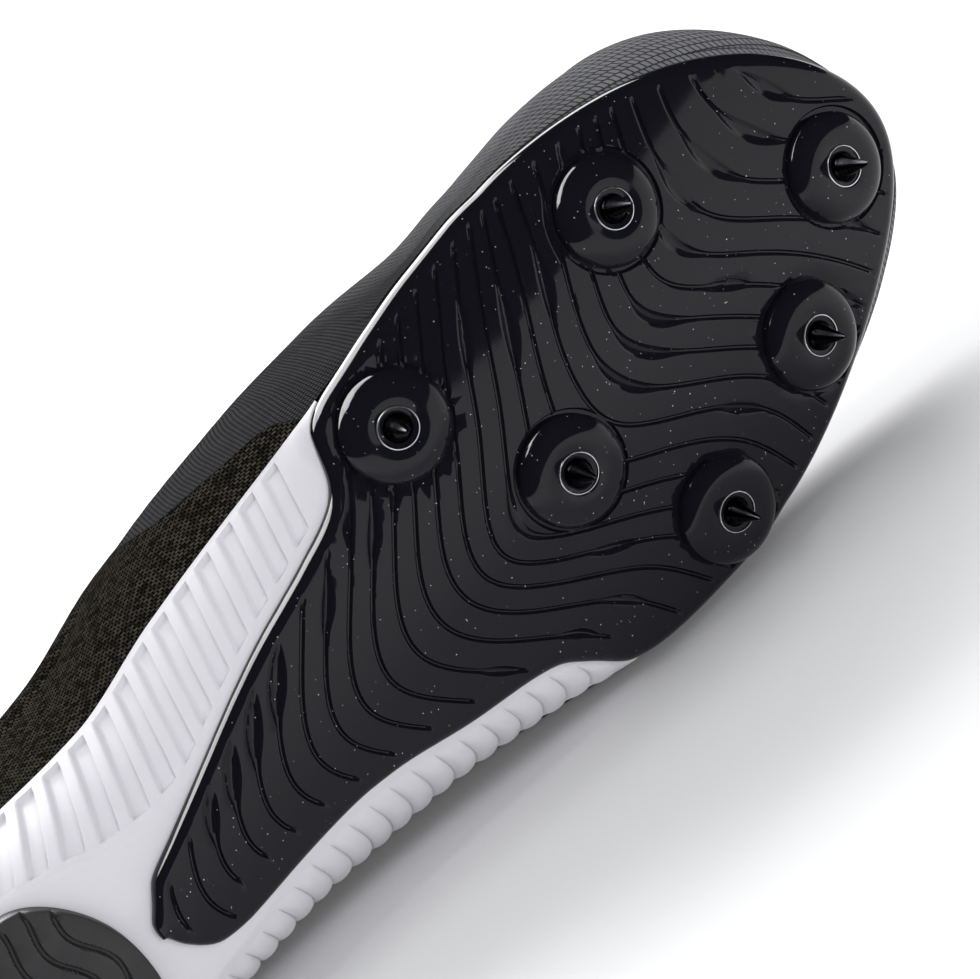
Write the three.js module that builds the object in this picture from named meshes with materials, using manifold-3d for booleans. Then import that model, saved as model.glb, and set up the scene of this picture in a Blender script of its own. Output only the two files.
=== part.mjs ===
// Track spike shoe for the right foot, size 42.5, built the way it is made and laid on its medial side.
// The shoe is drawn standing: +X runs from heel to toe, +Y is the medial side and +Z is up, in millimetres.
// At the end of the file it is turned onto its side, on the face where it comes to rest.
import * as THREE from "three";
import { ConvexHull } from "three/addons/math/ConvexHull.js";
import { mergeVertices } from "three/addons/utils/BufferGeometryUtils.js";
import Module from "manifold-3d";

const wasm = await Module();
wasm.setup();

// Driving dimensions
const LENGTH = 287; // sole, heel to toe
const BALL_WIDTH = 100; // plate, across the ball
const GAP = 0.3; // clearance between pieces that touch
const SPRING_ANGLE = THREE.MathUtils.degToRad(21); // the toe's final slope
const SPRING_START = 165; // where the toe spring begins, from the heel
const SPRING_BEND = 62; // length over which the plate bends up
const CROWN_RADIUS = 235; // the plate's curve from side to side
const ARCH_RISE = 2.5;
const ARCH_CENTRE = 98;
const ARCH_HALF_LENGTH = 44;
const PLATE_THICK = 3;
const PLATE_ROUND = 2.4; // rounded lower edge
const PAD_THICK = 3; // rubber under the heel
const FOAM_FOREFOOT = 3; // foam above the plate, inside the upper
const HEEL_SIT = 27; // bite line above the floor at the heel
const WALL = 2.2; // upper, fabric and lining
const OVERLAY = 0.8; // films and counters on the upper
const OVERLAY_GAP = 0.6;
const TOE_DEPTH = 31; // toe box above its bite line
const INSTEP_HEIGHT = 96; // ridge at the top eyelets
const HEEL_HEIGHT = 87; // collar at the back
const ANKLE_HEIGHT = 68; // collar beside the ankle
const THROAT_FRONT = 206;
const THROAT_TOP = 118;
const THROAT_HALF_FRONT = 11;
const THROAT_HALF_TOP = 19;
const TONGUE_THICK = 3.6;
const TONGUE_TOP = 96;
const TONGUE_END = 216;
const TONGUE_HALF = 27;
const INSOLE_THICK = 3.5;
const RIB_PITCH = 7.5; // lateral wall
const RIB_DEPTH = 1.1;
const RIB_SLANT = 11; // how far a rib leans back from its top to its foot
const LOBE_PITCH = 5.65; // medial wall
const LOBE_DEPTH = 1.2;
const EYELET_PAIRS = 6;
const EYELET_RADIUS = 2;
const EYELET_INSET = 5.5; // from the throat's edge
const LACE_WIDTH = 5;
const LACE_THICK = 1.6;
const BOSS_RADIUS = 12;
const BOSS_FACE = 8.6;
const BOSS_HEIGHT = 3.6;
const SOCKET_RADIUS = 4.5;
const SOCKET_WALL = 0.45;
const SOCKET_DEPTH = 5.2;
const SOCKET_RECESS = 2; // from the rim down to the spike's seat
const STEM_RADIUS = 2.2;
const WRENCH_RADIUS = 3.4; // across the corners of the spike's wrench body
const WRENCH_HEIGHT = 1.3;
const PIN_RADIUS = 2.1;
const PIN_TIP = 0.35;
const PIN_LENGTH = 8.5; // from the socket's rim to the point
const PIN_WAIST = { height: 0.42, radius: 0.62 }; // shares of the pin's length and foot
const LAP = 0.1; // how far joined solids run into each other

// Section tables. x is a share of the length; widths are shares of the ball width.
const PLATE_EDGE = [
  { x: 0.190, lateral: 0.035, medial: 0.035 },
  { x: 0.198, lateral: 0.02, medial: 0.12 },
  { x: 0.218, lateral: 0.05, medial: 0.16 },
  { x: 0.248, lateral: 0.078, medial: 0.175 },
  { x: 0.300, lateral: 0.126, medial: 0.178 },
  { x: 0.355, lateral: 0.18, medial: 0.185 },
  { x: 0.390, lateral: 0.212, medial: 0.2 },
  { x: 0.455, lateral: 0.262, medial: 0.253 },
  { x: 0.495, lateral: 0.3, medial: 0.281 },
  { x: 0.506, lateral: 0.325, medial: 0.29 },
  { x: 0.528, lateral: 0.435, medial: 0.316 },
  { x: 0.545, lateral: 0.458, medial: 0.365 },
  { x: 0.568, lateral: 0.47, medial: 0.44 },
  { x: 0.605, lateral: 0.486, medial: 0.474 },
  { x: 0.650, lateral: 0.498, medial: 0.49 },
  { x: 0.700, lateral: 0.5, medial: 0.5 },
  { x: 0.735, lateral: 0.49, medial: 0.49 },
];
const BITE_EDGE = [
  { x: 0.140, lateral: 0.31, medial: 0.345 },
  { x: 0.255, lateral: 0.295, medial: 0.352 },
  { x: 0.350, lateral: 0.345, medial: 0.375 },
  { x: 0.425, lateral: 0.385, medial: 0.388 },
  { x: 0.520, lateral: 0.435, medial: 0.428 },
  { x: 0.575, lateral: 0.468, medial: 0.462 },
  { x: 0.650, lateral: 0.493, medial: 0.487 },
  { x: 0.700, lateral: 0.495, medial: 0.495 },
  { x: 0.735, lateral: 0.485, medial: 0.487 },
];
const TOE_BEGIN = 0.735; // both outlines end in the same toe curve
const HEEL_END = 0.14;
const TOE_SHIFT = 7; // the toe's point lies towards the big toe
// Top of the foam at its edge: share of HEEL_SIT above the ground line.
const BITE_RISE = [
  { x: 0.0, rise: 1 },
  { x: 0.16, rise: 0.96 },
  { x: 0.27, rise: 0.87 },
  { x: 0.36, rise: 0.73 },
  { x: 0.45, rise: 0.56 },
  { x: 0.52, rise: 0.36 },
  { x: 0.575, rise: 0.17 },
  { x: 1.0, rise: 0.12 },
];
// How far out the foam's lower edge lies where no plate meets it, as a share of the bite line's width.
const FOOT_SHARE = [
  { x: 0.0, share: 0.92 },
  { x: 0.1, share: 0.86 },
  { x: 0.19, share: 0.62 },
];
// Upper sections: bulge beyond the bite line, height of the widest point above it, ridge height and fullness.
const LAST = [
  { x: 0.00, bulge: 1.02, waist: 19, ridge: 1.20, full: 2.2 },
  { x: 0.16, bulge: 1.01, waist: 19, ridge: 1.20, full: 2.2 },
  { x: 0.30, bulge: 1.10, waist: 19, ridge: 1.12, full: 2.1 },
  { x: 0.41, bulge: 1.14, waist: 20, ridge: 1.00, full: 2.05 },
  { x: 0.50, bulge: 1.13, waist: 18, ridge: 0.885, full: 2.0 },
  { x: 0.58, bulge: 1.08, waist: 15, ridge: 0.785, full: 1.95 },
  { x: 0.68, bulge: 0.99, waist: 10, ridge: 0.68, full: 1.95 },
  { x: 0.75, bulge: 1.01, waist: 10, ridge: 0.63, full: 2.1 },
  { x: 0.80, bulge: 1.05, waist: 11, ridge: 0.60, full: 2.3 },
  { x: 0.86, bulge: 1.12, waist: 11, ridge: 0.575, full: 2.4 },
  { x: 0.93, bulge: 1.20, waist: 11, ridge: 0.55, full: 2.5 },
  { x: 0.98, bulge: 1.24, waist: 11, ridge: 0.55, full: 2.5 },
];
const COLLAR = [
  { x: 0.0, height: 1 },
  { x: 0.05, height: 0.93 },
  { x: 0.12, height: 0.35 },
  { x: 0.2, height: 0 },
];
// Spikes: place along the shoe and across it, as shares.
const SPIKES = [
  { x: 0.940, y: 0.094 },
  { x: 0.790, y: -0.262 },
  { x: 0.835, y: 0.280 },
  { x: 0.696, y: 0.372 },
  { x: 0.634, y: 0.030 },
  { x: 0.569, y: -0.319 },
];

// Centre of mass: shares of the length and ball width, and height
const BALANCE = { x: 0.495, y: 0.015, z: 21 };

const COLOURS = {
  plate: { color: 0x0b0b0f, roughness: 0.12, metalness: 0 },
  foam: { color: 0xe4e2e8, roughness: 0.6, metalness: 0 },
  rubber: { color: 0x141416, roughness: 0.6, metalness: 0 },
  mesh: { color: 0x1b1a19, roughness: 0.85, metalness: 0 },
  film: { color: 0x3c3c3e, roughness: 0.5, metalness: 0 },
  lining: { color: 0x242426, roughness: 0.9, metalness: 0 },
  cord: { color: 0x161617, roughness: 0.85, metalness: 0 },
  steel: { color: 0x9a9ca0, roughness: 0.25, metalness: 1 },
  pin: { color: 0x17171a, roughness: 0.3, metalness: 1 },
};

const shoe = new THREE.Group();
const LATERAL = -1;
const MEDIAL = 1;

// A monotone cubic through a table's rows, so that no value swings past its neighbours.
function smooth(rows, column) {
  const n = rows.length;
  const step = rows.slice(1).map((row, i) => row.x - rows[i].x);
  const slope = rows.slice(1).map((row, i) => (row[column] - rows[i][column]) / step[i]);
  const tangent = rows.map((_, i) => {
    if (i === 0) return slope[0];
    if (i === n - 1) return slope[n - 2];
    if (slope[i - 1] * slope[i] <= 0) return 0;
    const a = 2 * step[i] + step[i - 1];
    const b = step[i] + 2 * step[i - 1];
    return (a + b) / (a / slope[i - 1] + b / slope[i]);
  });
  return (x) => {
    if (x <= rows[0].x) return rows[0][column];
    if (x >= rows[n - 1].x) return rows[n - 1][column];
    let i = 0;
    while (x > rows[i + 1].x) i += 1;
    const t = (x - rows[i].x) / step[i];
    const t2 = t * t;
    const t3 = t2 * t;
    return rows[i][column] * (2 * t3 - 3 * t2 + 1) + rows[i + 1][column] * (3 * t2 - 2 * t3)
      + step[i] * (tangent[i] * (t3 - 2 * t2 + t) + tangent[i + 1] * (t3 - t2));
  };
}

// Sole profile
function spring(x) {
  const d = Math.max(x - SPRING_START, 0);
  return Math.tan(SPRING_ANGLE) * (d - SPRING_BEND * (1 - Math.exp(-d / SPRING_BEND)));
}

function arch(x) {
  const d = Math.min(Math.abs(x - ARCH_CENTRE) / ARCH_HALF_LENGTH, 1);
  return ARCH_RISE * (0.5 + 0.5 * Math.cos(Math.PI * d));
}

function ground(x, y) {
  return spring(x) + arch(x) + (y * y) / (2 * CROWN_RADIUS);
}

// Outlines: distance of an edge from the shoe's middle line, at x, on one side.
function toeCurve(x) {
  const t = Math.min(Math.max((x / LENGTH - TOE_BEGIN) / (1 - TOE_BEGIN), 0), 1);
  return { share: Math.sqrt(1 - t ** 1.5), shift: TOE_SHIFT * t ** 4 };
}

function heelCurve(x) {
  const t = Math.min(Math.max((HEEL_END - x / LENGTH) / HEEL_END, 0), 1);
  return Math.sqrt(1 - t ** 2.3);
}

function outline(rows) {
  const edges = { [LATERAL]: smooth(rows, "lateral"), [MEDIAL]: smooth(rows, "medial") };
  return (x, side) => {
    const toe = toeCurve(x);
    return side * edges[side](x / LENGTH) * BALL_WIDTH * toe.share * heelCurve(x) + toe.shift;
  };
}

const plateRows = outline(PLATE_EDGE);
const biteRows = outline(BITE_EDGE);
const riseShare = smooth(BITE_RISE, "rise");
const footShare = smooth(FOOT_SHARE, "share");

// The plate's tail is narrow and rounded, so its lateral edge starts past the middle line.
const TAIL = PLATE_EDGE[0].x * LENGTH;
const TAIL_ROUND = 9;
const TAIL_CENTRE = 5.5;

function plateEdge(x, side) {
  const t = Math.min(Math.max((x - TAIL) / TAIL_ROUND, 0), 1);
  const round = Math.sqrt(1 - (1 - t) ** 2);
  return TAIL_CENTRE + (plateRows(x, side) - TAIL_CENTRE) * round;
}

function biteHeight(x) {
  const edge = 0.5 * (Math.abs(biteRows(x, LATERAL)) + Math.abs(biteRows(x, MEDIAL)));
  return ground(x, edge) + Math.max(HEEL_SIT * riseShare(x / LENGTH), PLATE_THICK + GAP);
}

// Solids
function solidOf(geometry) {
  const bare = geometry.index ? geometry.toNonIndexed() : geometry.clone();
  bare.deleteAttribute("normal");
  bare.deleteAttribute("uv");
  const merged = mergeVertices(bare, 1e-4);
  return new wasm.Manifold(new wasm.Mesh({
    numProp: 3,
    vertProperties: merged.attributes.position.array,
    triVerts: new Uint32Array(merged.index.array),
  }));
}

function geometryOf(solid) {
  const mesh = solid.getMesh();
  return new THREE.BufferGeometry()
    .setAttribute("position", new THREE.BufferAttribute(mesh.vertProperties, 3))
    .setIndex(new THREE.BufferAttribute(mesh.triVerts, 1));
}

function fromFaces(points, faces) {
  const geometry = new THREE.BufferGeometry().setFromPoints(points);
  geometry.setIndex(faces);
  return solidOf(geometry);
}

function facingOut(points, faces) {
  const solid = fromFaces(points, faces);
  return solid.volume() < 0 ? fromFaces(points, faces.reverse()) : solid;
}

// Joins closed rings into one body, with a fan of faces over each end.
function loft(rings) {
  const n = rings[0].length;
  const centre = (ring) => ring.reduce((sum, p) => sum.add(p), new THREE.Vector3()).divideScalar(n);
  const points = [...rings.flat(), centre(rings[0]), centre(rings.at(-1))];
  const last = (rings.length - 1) * n;
  const faces = [];
  for (let j = 0; j < n; j += 1) {
    const k = (j + 1) % n;
    for (let i = 0; i + 1 < rings.length; i += 1) {
      const [a, b, c, d] = [i * n + j, i * n + k, (i + 1) * n + k, (i + 1) * n + j];
      faces.push(a, b, c, a, c, d);
    }
    faces.push(k, j, last + n, last + j, last + k, last + n + 1);
  }
  return facingOut(points, faces);
}

// A shell between two grids of the same size: outer and inner skins with a rim on every open edge.
function shell(outer, inner, closedAround) {
  const rows = outer.length;
  const columns = outer[0].length;
  const points = [...outer.flat(), ...inner.flat()];
  const shift = rows * columns;
  const faces = [];
  const quad = (a, b, c, d) => faces.push(a, b, c, a, c, d);
  const spans = closedAround ? rows : rows - 1;
  for (let i = 0; i < spans; i += 1) {
    const next = (i + 1) % rows;
    for (let j = 0; j + 1 < columns; j += 1) {
      const [a, b, c, d] = [i * columns + j, next * columns + j, next * columns + j + 1, i * columns + j + 1];
      quad(a, b, c, d);
      quad(d + shift, c + shift, b + shift, a + shift);
    }
    const [low, lowNext] = [i * columns, next * columns];
    const [high, highNext] = [low + columns - 1, lowNext + columns - 1];
    quad(low, low + shift, lowNext + shift, lowNext);
    quad(high, highNext, highNext + shift, high + shift);
  }
  if (!closedAround) {
    for (let j = 0; j + 1 < columns; j += 1) {
      const end = (rows - 1) * columns;
      quad(j, j + 1, j + 1 + shift, j + shift);
      quad(end + j, end + j + shift, end + j + 1 + shift, end + j + 1);
    }
  }
  return facingOut(points, faces);
}

function add(name, solid, finish) {
  const material = new THREE.MeshStandardMaterial(COLOURS[finish]);
  const mesh = new THREE.Mesh(geometryOf(solid), material);
  mesh.name = name;
  shoe.add(mesh);
}

// Stations from one x to another, closer together towards the ends.
function stations(from, to, count) {
  return Array.from({ length: count + 1 }, (_, i) => {
    const t = 0.5 - 0.5 * Math.cos((Math.PI * i) / count);
    return from + (to - from) * t;
  });
}

function even(from, to, count) {
  return Array.from({ length: count + 1 }, (_, i) => from + ((to - from) * i) / count);
}

// A flat layer that follows the ground line: a ring at x between two edges, with a rounded lower rim.
function layerRing(x, edges, bottom, top, round) {
  const [lateral, medial] = edges;
  const half = (medial - lateral) / 2;
  const r = Math.min(round, half * 0.4);
  const lift = (y, z) => new THREE.Vector3(x, y, ground(x, y) + z);
  const across = even(lateral + r, medial - r, 5);
  const rim = [[r * 0.35, r * 0.2], [0, r * 0.75]];
  return [
    ...across.map((y) => lift(y, bottom)),
    ...rim.map(([inset, up]) => lift(medial - inset, bottom + up)),
    ...even(medial, lateral, 5).map((y) => lift(y, top)),
    ...rim.reverse().map(([inset, up]) => lift(lateral + inset, bottom + up)),
  ];
}

// Plate, its bosses and the spikes
const BOSS_PROFILE = [
  [0, -PLATE_THICK / 2], [BOSS_RADIUS, -PLATE_THICK / 2], [BOSS_RADIUS * 0.98, BOSS_HEIGHT * 0.35],
  [BOSS_RADIUS * 0.88, BOSS_HEIGHT * 0.78], [BOSS_FACE, BOSS_HEIGHT], [0, BOSS_HEIGHT],
];

function lathe(profile, sides) {
  return solidOf(new THREE.LatheGeometry(profile.map(([r, z]) => new THREE.Vector2(r, z)), sides));
}

// Where a spike stands: its foot on the plate, its axis along the plate's outward normal.
function spikeSeat({ x, y }) {
  const [px, py] = [x * LENGTH, y * BALL_WIDTH];
  const slope = (ground(px + 0.5, py) - ground(px - 0.5, py));
  const bank = (ground(px, py + 0.5) - ground(px, py - 0.5));
  const axis = new THREE.Vector3(slope, bank, -1).normalize();
  const turn = new THREE.Quaternion().setFromUnitVectors(new THREE.Vector3(0, 1, 0), axis);
  return new THREE.Matrix4().compose(new THREE.Vector3(px, py, ground(px, py)), turn, new THREE.Vector3(1, 1, 1));
}

const seats = SPIKES.map(spikeSeat);
const SOCKET_FLOOR = BOSS_HEIGHT - SOCKET_RECESS;
const SOCKET_BOTTOM = BOSS_HEIGHT - SOCKET_DEPTH;
const SOCKET_RIM = BOSS_HEIGHT + 0.15; // the rim stands a little proud of the boss
const END_RING = 0.4; // the first and last rings of the plate lie this far inside its ends
const PLATE_RINGS = 30;

function plateSolid() {
  const marks = stations(TAIL + END_RING, LENGTH - END_RING, PLATE_RINGS);
  let body = loft(marks.map((x) => layerRing(
    x, [plateEdge(x, LATERAL), plateEdge(x, MEDIAL)], 0, PLATE_THICK, PLATE_ROUND)));
  const hole = SOCKET_RADIUS + GAP;
  for (const seat of seats) {
    body = body.add(lathe(BOSS_PROFILE, 18).transform(seat.elements));
    body = body.subtract(lathe([
      [0, SOCKET_BOTTOM - GAP], [hole, SOCKET_BOTTOM - GAP],
      [hole, BOSS_HEIGHT + 1], [0, BOSS_HEIGHT + 1]], 14).transform(seat.elements));
  }
  return body;
}

function socketSolid() {
  const bore = STEM_RADIUS + GAP;
  const inner = SOCKET_RADIUS - SOCKET_WALL;
  return lathe([
    [bore, SOCKET_BOTTOM], [SOCKET_RADIUS, SOCKET_BOTTOM], [SOCKET_RADIUS, SOCKET_RIM],
    [inner, SOCKET_RIM], [inner, SOCKET_FLOOR], [bore, SOCKET_FLOOR], [bore, SOCKET_BOTTOM]], 14);
}

function spikeSolid() {
  const seat = SOCKET_FLOOR + GAP;
  const stem = lathe([[0, SOCKET_BOTTOM + GAP], [STEM_RADIUS, SOCKET_BOTTOM + GAP],
    [STEM_RADIUS, seat + LAP], [0, seat + LAP]], 8);
  const wrench = lathe([[0, seat], [WRENCH_RADIUS, seat], [WRENCH_RADIUS, seat + WRENCH_HEIGHT],
    [0, seat + WRENCH_HEIGHT]], 6);
  const foot = seat + WRENCH_HEIGHT - LAP;
  const point = BOSS_HEIGHT + PIN_LENGTH;
  const pin = lathe([[0, foot], [PIN_RADIUS, foot],
    [PIN_RADIUS * PIN_WAIST.radius, BOSS_HEIGHT + PIN_LENGTH * PIN_WAIST.height], [PIN_TIP, point], [0, point]], 10);
  return stem.add(wrench).add(pin);
}

// Heel pad: a thin rubber tread under the heel, with cross grooves.
const PAD_FRONT = 50;
const PAD_BACK = 4;
const PAD_INSET = 0.94; // share of the foam's foot
const PAD_NOSE = 14; // length of the rounded front end
const PAD_GROOVES = 4;
const PAD_GROOVE_WIDTH = 1.8;
const PAD_GROOVE_DEPTH = 1.2;
const PAD_GROOVE_MARGIN = 8; // from the pad's ends

function padEdge(x, side) {
  const t = Math.min(Math.max((x - PAD_FRONT + PAD_NOSE) / PAD_NOSE, 0), 1);
  return footEdge(x, side) * PAD_INSET * Math.sqrt(1 - 0.86 * t ** 2.2);
}

// Midsole
const TAIL_BLEND = 30; // over this length the foam's foot takes on the plate's outline
const BELLY = { share: 0.1, most: 2.2 }; // the wall's outward curve, a share of its height
const WALL_LEAST = 0.5;

function footEdge(x, side) {
  const rear = biteRows(x, side) * footShare(x / LENGTH);
  if (x < TAIL) return rear;
  const blend = Math.min((x - TAIL) / TAIL_BLEND, 1);
  const atPlate = plateEdge(x, side) + side * GAP;
  const tailFoot = Math.abs(rear) > Math.abs(atPlate) ? rear : atPlate;
  return tailFoot + (atPlate - tailFoot) * blend;
}

const WING_END = { [LATERAL]: 0.545 * LENGTH, [MEDIAL]: 0.572 * LENGTH };
const RIB_FRONT = 0.5 * LENGTH;
const RIB_BACK = 12;

function lobe(x) {
  if (x > WING_END[MEDIAL] || x < RIB_BACK) return 0;
  const phase = (x - RIB_BACK) / LOBE_PITCH;
  return LOBE_DEPTH * Math.sqrt(Math.abs(Math.sin(Math.PI * phase)));
}

// The foam wall between its lower edge and the bite line; t runs from 0 at the foot to 1 at the top.
const FOAM_SEAT = PLATE_THICK + 1.3 * GAP; // the foam lies on the plate and on the heel pad

function wallPoint(x, side, t) {
  const foot = footEdge(x, side);
  const top = biteRows(x, side);
  const zFoot = ground(x, foot) + FOAM_SEAT;
  const zTop = Math.max(biteHeight(x), zFoot + WALL_LEAST);
  const belly = Math.sin(Math.PI * t) * Math.min((zTop - zFoot) * BELLY.share, BELLY.most);
  const y = foot + (top - foot) * t + side * belly;
  return new THREE.Vector3(x, y, zFoot + (zTop - zFoot) * t ** 1.12 - belly * 0.5);
}

function midsoleRing(x) {
  const wall = (side) => even(0, 1, 4).map((t) => {
    const p = wallPoint(x, side, t);
    const swell = side === MEDIAL ? lobe(x) * Math.sin(Math.PI * Math.min(t * 1.15, 1)) ** 0.5 : 0;
    return new THREE.Vector3(x, p.y + side * swell, p.z - swell * 0.3);
  });
  const medial = wall(MEDIAL);
  const lateral = wall(LATERAL);
  const over = (lateral.at(-1).y + medial.at(-1).y) / 2;
  return [
    ...even(lateral[0].y, medial[0].y, 4).slice(0, -1).map((y) => new THREE.Vector3(x, y, ground(x, y) + FOAM_SEAT)),
    ...medial,
    new THREE.Vector3(x, over, medial.at(-1).z - 0.6),
    ...lateral.slice(1).reverse(),
  ];
}

const FOAM_INSET = WALL + 1.8; // the forefoot foam lies inside the upper's wall
const FOAM_TOE = 0.925 * LENGTH;
const FOAM_HEEL = 1.5;
const FOAM_OVERLAP = 12; // the forefoot layer runs this far back into the wedge

function midsoleSolid() {
  const rear = loft([
    ...stations(FOAM_HEEL, RIB_BACK + LOBE_PITCH, 5).slice(0, -1),
    ...even(RIB_BACK + LOBE_PITCH, WING_END[MEDIAL] - END_RING,
      Math.round((2 * (WING_END[MEDIAL] - RIB_BACK)) / LOBE_PITCH) - 2),
  ].map(midsoleRing));
  const layer = loft(stations(WING_END[LATERAL] - FOAM_OVERLAP, FOAM_TOE, 14).map((x) => layerRing(
    x, [biteRows(x, LATERAL) + FOAM_INSET, biteRows(x, MEDIAL) - FOAM_INSET],
    FOAM_SEAT, FOAM_SEAT + FOAM_FOREFOOT, 0.5)));
  return ribPanels().reduce((foam, panel) => foam.subtract(panel), rear.add(layer));
}

function padRing(x, grow, bottom, top) {
  const inside = Math.min(Math.max(x, PAD_BACK + 0.6), PAD_FRONT - 0.3);
  const t = Math.min((inside - PAD_BACK) / 10, 1);
  const round = Math.sqrt(1 - (1 - t) ** 2);
  const edges = [padEdge(inside, LATERAL) * round - grow, padEdge(inside, MEDIAL) * round + grow];
  return layerRing(x, edges, bottom, top, 0.8);
}

// Recessed panels between the ribs of the lateral wall: each is a slanting bar cut into the foam.
const PANEL_SHARE = 0.64;
const PANEL_FOOT = 0.1;
const PANEL_HEAD = 0.93;

function ribPanels() {
  const count = Math.floor((RIB_FRONT - RIB_BACK) / RIB_PITCH);
  return Array.from({ length: count }, (_, i) => {
    const middle = RIB_FRONT - RIB_PITCH * (i + 0.5);
    const half = (RIB_PITCH * PANEL_SHARE) / 2;
    const rings = even(PANEL_FOOT, PANEL_HEAD, 2).map((t) => {
      const lean = RIB_SLANT * ((1 - t) ** 1.3) * Math.min((biteHeight(middle) - ground(middle, 0)) / HEEL_SIT, 1);
      const corner = (dx, depth) => {
        const x = Math.max(middle - lean + dx, 2 * FOAM_HEEL);
        const p = wallPoint(x, LATERAL, t);
        const above = wallPoint(x, LATERAL, Math.min(t + 0.05, 1));
        const below = wallPoint(x, LATERAL, Math.max(t - 0.05, 0));
        const out = new THREE.Vector3(0, -(above.z - below.z), above.y - below.y).normalize();
        return p.addScaledVector(out, depth);
      };
      return [corner(-half, -RIB_DEPTH), corner(half, -RIB_DEPTH), corner(half, 2), corner(-half, 2)];
    });
    return loft(rings);
  });
}

function padSolid() {
  const pad = loft(stations(PAD_BACK, PAD_FRONT, 9).map((x) => padRing(x, 0, 0, PAD_THICK)));
  const cut = solidOf(new THREE.BoxGeometry(PAD_GROOVE_WIDTH, BALL_WIDTH, 2 * PAD_GROOVE_DEPTH));
  return even(PAD_BACK + PAD_GROOVE_MARGIN, PAD_FRONT - PAD_GROOVE_MARGIN, PAD_GROOVES - 1)
    .reduce((body, x) => body.subtract(cut.translate([x, 0, 0])), pad);
}

// Upper
const lastBulge = smooth(LAST, "bulge");
const lastWaist = smooth(LAST, "waist");
const lastRidge = smooth(LAST, "ridge");
const lastFull = smooth(LAST, "full");
const RIDGE_SHIFT = 4;
const FOOT_ANGLE = THREE.MathUtils.degToRad(26);
const TOE_CAP = 0.80;

function ridgeHeight(x) {
  const bite = biteHeight(x);
  const ridge = INSTEP_HEIGHT * lastRidge(x / LENGTH);
  const t = Math.min(Math.max((x / LENGTH - TOE_CAP) / (1 - TOE_CAP), 0), 1);
  const cap = Math.sqrt(Math.max(1 - t ** 2.4, 0));
  const full = Math.max(ridge - bite, TOE_DEPTH);
  return bite + (t > 0 ? Math.min(full, TOE_DEPTH + (full - TOE_DEPTH) * (1 - t)) * cap : full);
}

// A point of the upper's outer skin. reach runs from 0 at the bite line to 1 at the ridge.
function lastPoint(x, side, reach) {
  const bite = biteHeight(x);
  const bulge = 1 + (lastBulge(x / LENGTH) - 1) * heelCurve(x) ** 0.5;
  const toe = toeCurve(x);
  const half = (biteRows(x, side) - toe.shift) * bulge;
  const ridge = ridgeHeight(x);
  const waist = Math.min(lastWaist(x / LENGTH), (ridge - bite) * 0.42);
  const angle = -FOOT_ANGLE + (Math.PI / 2 + FOOT_ANGLE) * reach;
  const power = 2 / lastFull(x / LENGTH);
  const c = Math.max(Math.cos(angle), 0);
  const s = Math.sin(angle);
  const footShare = Math.cos(FOOT_ANGLE);
  const y = s < 0
    ? half * (1 / bulge + (1 - 1 / bulge) * ((c - footShare) / (1 - footShare)))
    : half * c ** power;
  const z = s < 0
    ? bite + GAP + waist * (1 + s / Math.sin(FOOT_ANGLE))
    : bite + GAP + waist + (ridge - bite - waist) * s ** power;
  const slide = s > 0 ? RIDGE_SHIFT * s * s * Math.min(Math.max((0.9 * LENGTH - x) / 60, 0), 1) : 0;
  return new THREE.Vector3(x + heelLean(x, z), y + toe.shift + slide, z);
}

// The heel's back swells over the foam and leans forward at the collar.
const HEEL_TUCK = 5;
const HEEL_REACH = 70; // how far forward the heel's curve runs

function heelLean(x, z) {
  const near = Math.max(1 - x / HEEL_REACH, 0) ** 2;
  const t = (z - HEEL_SIT) / (HEEL_HEIGHT - HEEL_SIT);
  return near * (HEEL_TUCK * (1.5 * t * t - 0.9 * t) + 1.5);
}

function lastNormal(x, side, reach) {
  const dx = 0.4;
  const dr = 0.01;
  const lowX = Math.min(Math.max(x - dx, 0.02), LENGTH - 1);
  const highX = Math.min(Math.max(x + dx, 0.6), LENGTH - 0.15);
  const lowR = Math.max(reach - dr, 0);
  const highR = Math.min(reach + dr, 1);
  const alongX = lastPoint(highX, side, reach).sub(lastPoint(lowX, side, reach));
  const alongR = lastPoint(x, side, highR).sub(lastPoint(x, side, lowR));
  return alongX.cross(alongR).multiplyScalar(-side).normalize();
}

function skin(x, side, reach, offset) {
  return lastPoint(x, side, reach).addScaledVector(lastNormal(x, side, reach), offset);
}

// Reach at which the section at x passes a height, or comes within a distance of the ridge.
function reachWhere(x, side, test) {
  let low = 0.02;
  let high = 0.999;
  for (let i = 0; i < 30; i += 1) {
    const middle = (low + high) / 2;
    if (test(lastPoint(x, side, middle))) high = middle;
    else low = middle;
  }
  return low;
}

const collarShare = smooth(COLLAR, "height");
const ANKLE = 62; // the collar's lowest place, from the heel

function throatHalf(x) {
  const t = Math.min(Math.max((x - THROAT_TOP) / (THROAT_FRONT - THROAT_TOP), 0), 1);
  return (THROAT_HALF_TOP + (THROAT_HALF_FRONT - THROAT_HALF_TOP) * t) * Math.sqrt(1 - Math.max((t - 0.88) / 0.12, 0) ** 2);
}

function throatReach(x, side) {
  return reachWhere(x, side, (p) => Math.abs(p.y - RIDGE_SHIFT) < throatHalf(x));
}

const topEyeletHeight = (side) => lastPoint(THROAT_TOP, side, throatReach(THROAT_TOP, side)).z;

function collarHeight(x, side) {
  const back = ANKLE_HEIGHT + (HEEL_HEIGHT - ANKLE_HEIGHT) * collarShare(x / LENGTH);
  const t = Math.min(Math.max((x - ANKLE) / (THROAT_TOP - ANKLE), 0), 1);
  return back + (topEyeletHeight(side) - ANKLE_HEIGHT) * t ** 1.7;
}

function edgeReach(x, side) {
  if (x >= THROAT_TOP) return throatReach(x, side);
  const height = collarHeight(x, side);
  return reachWhere(x, side, (p) => p.z > height);
}

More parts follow.
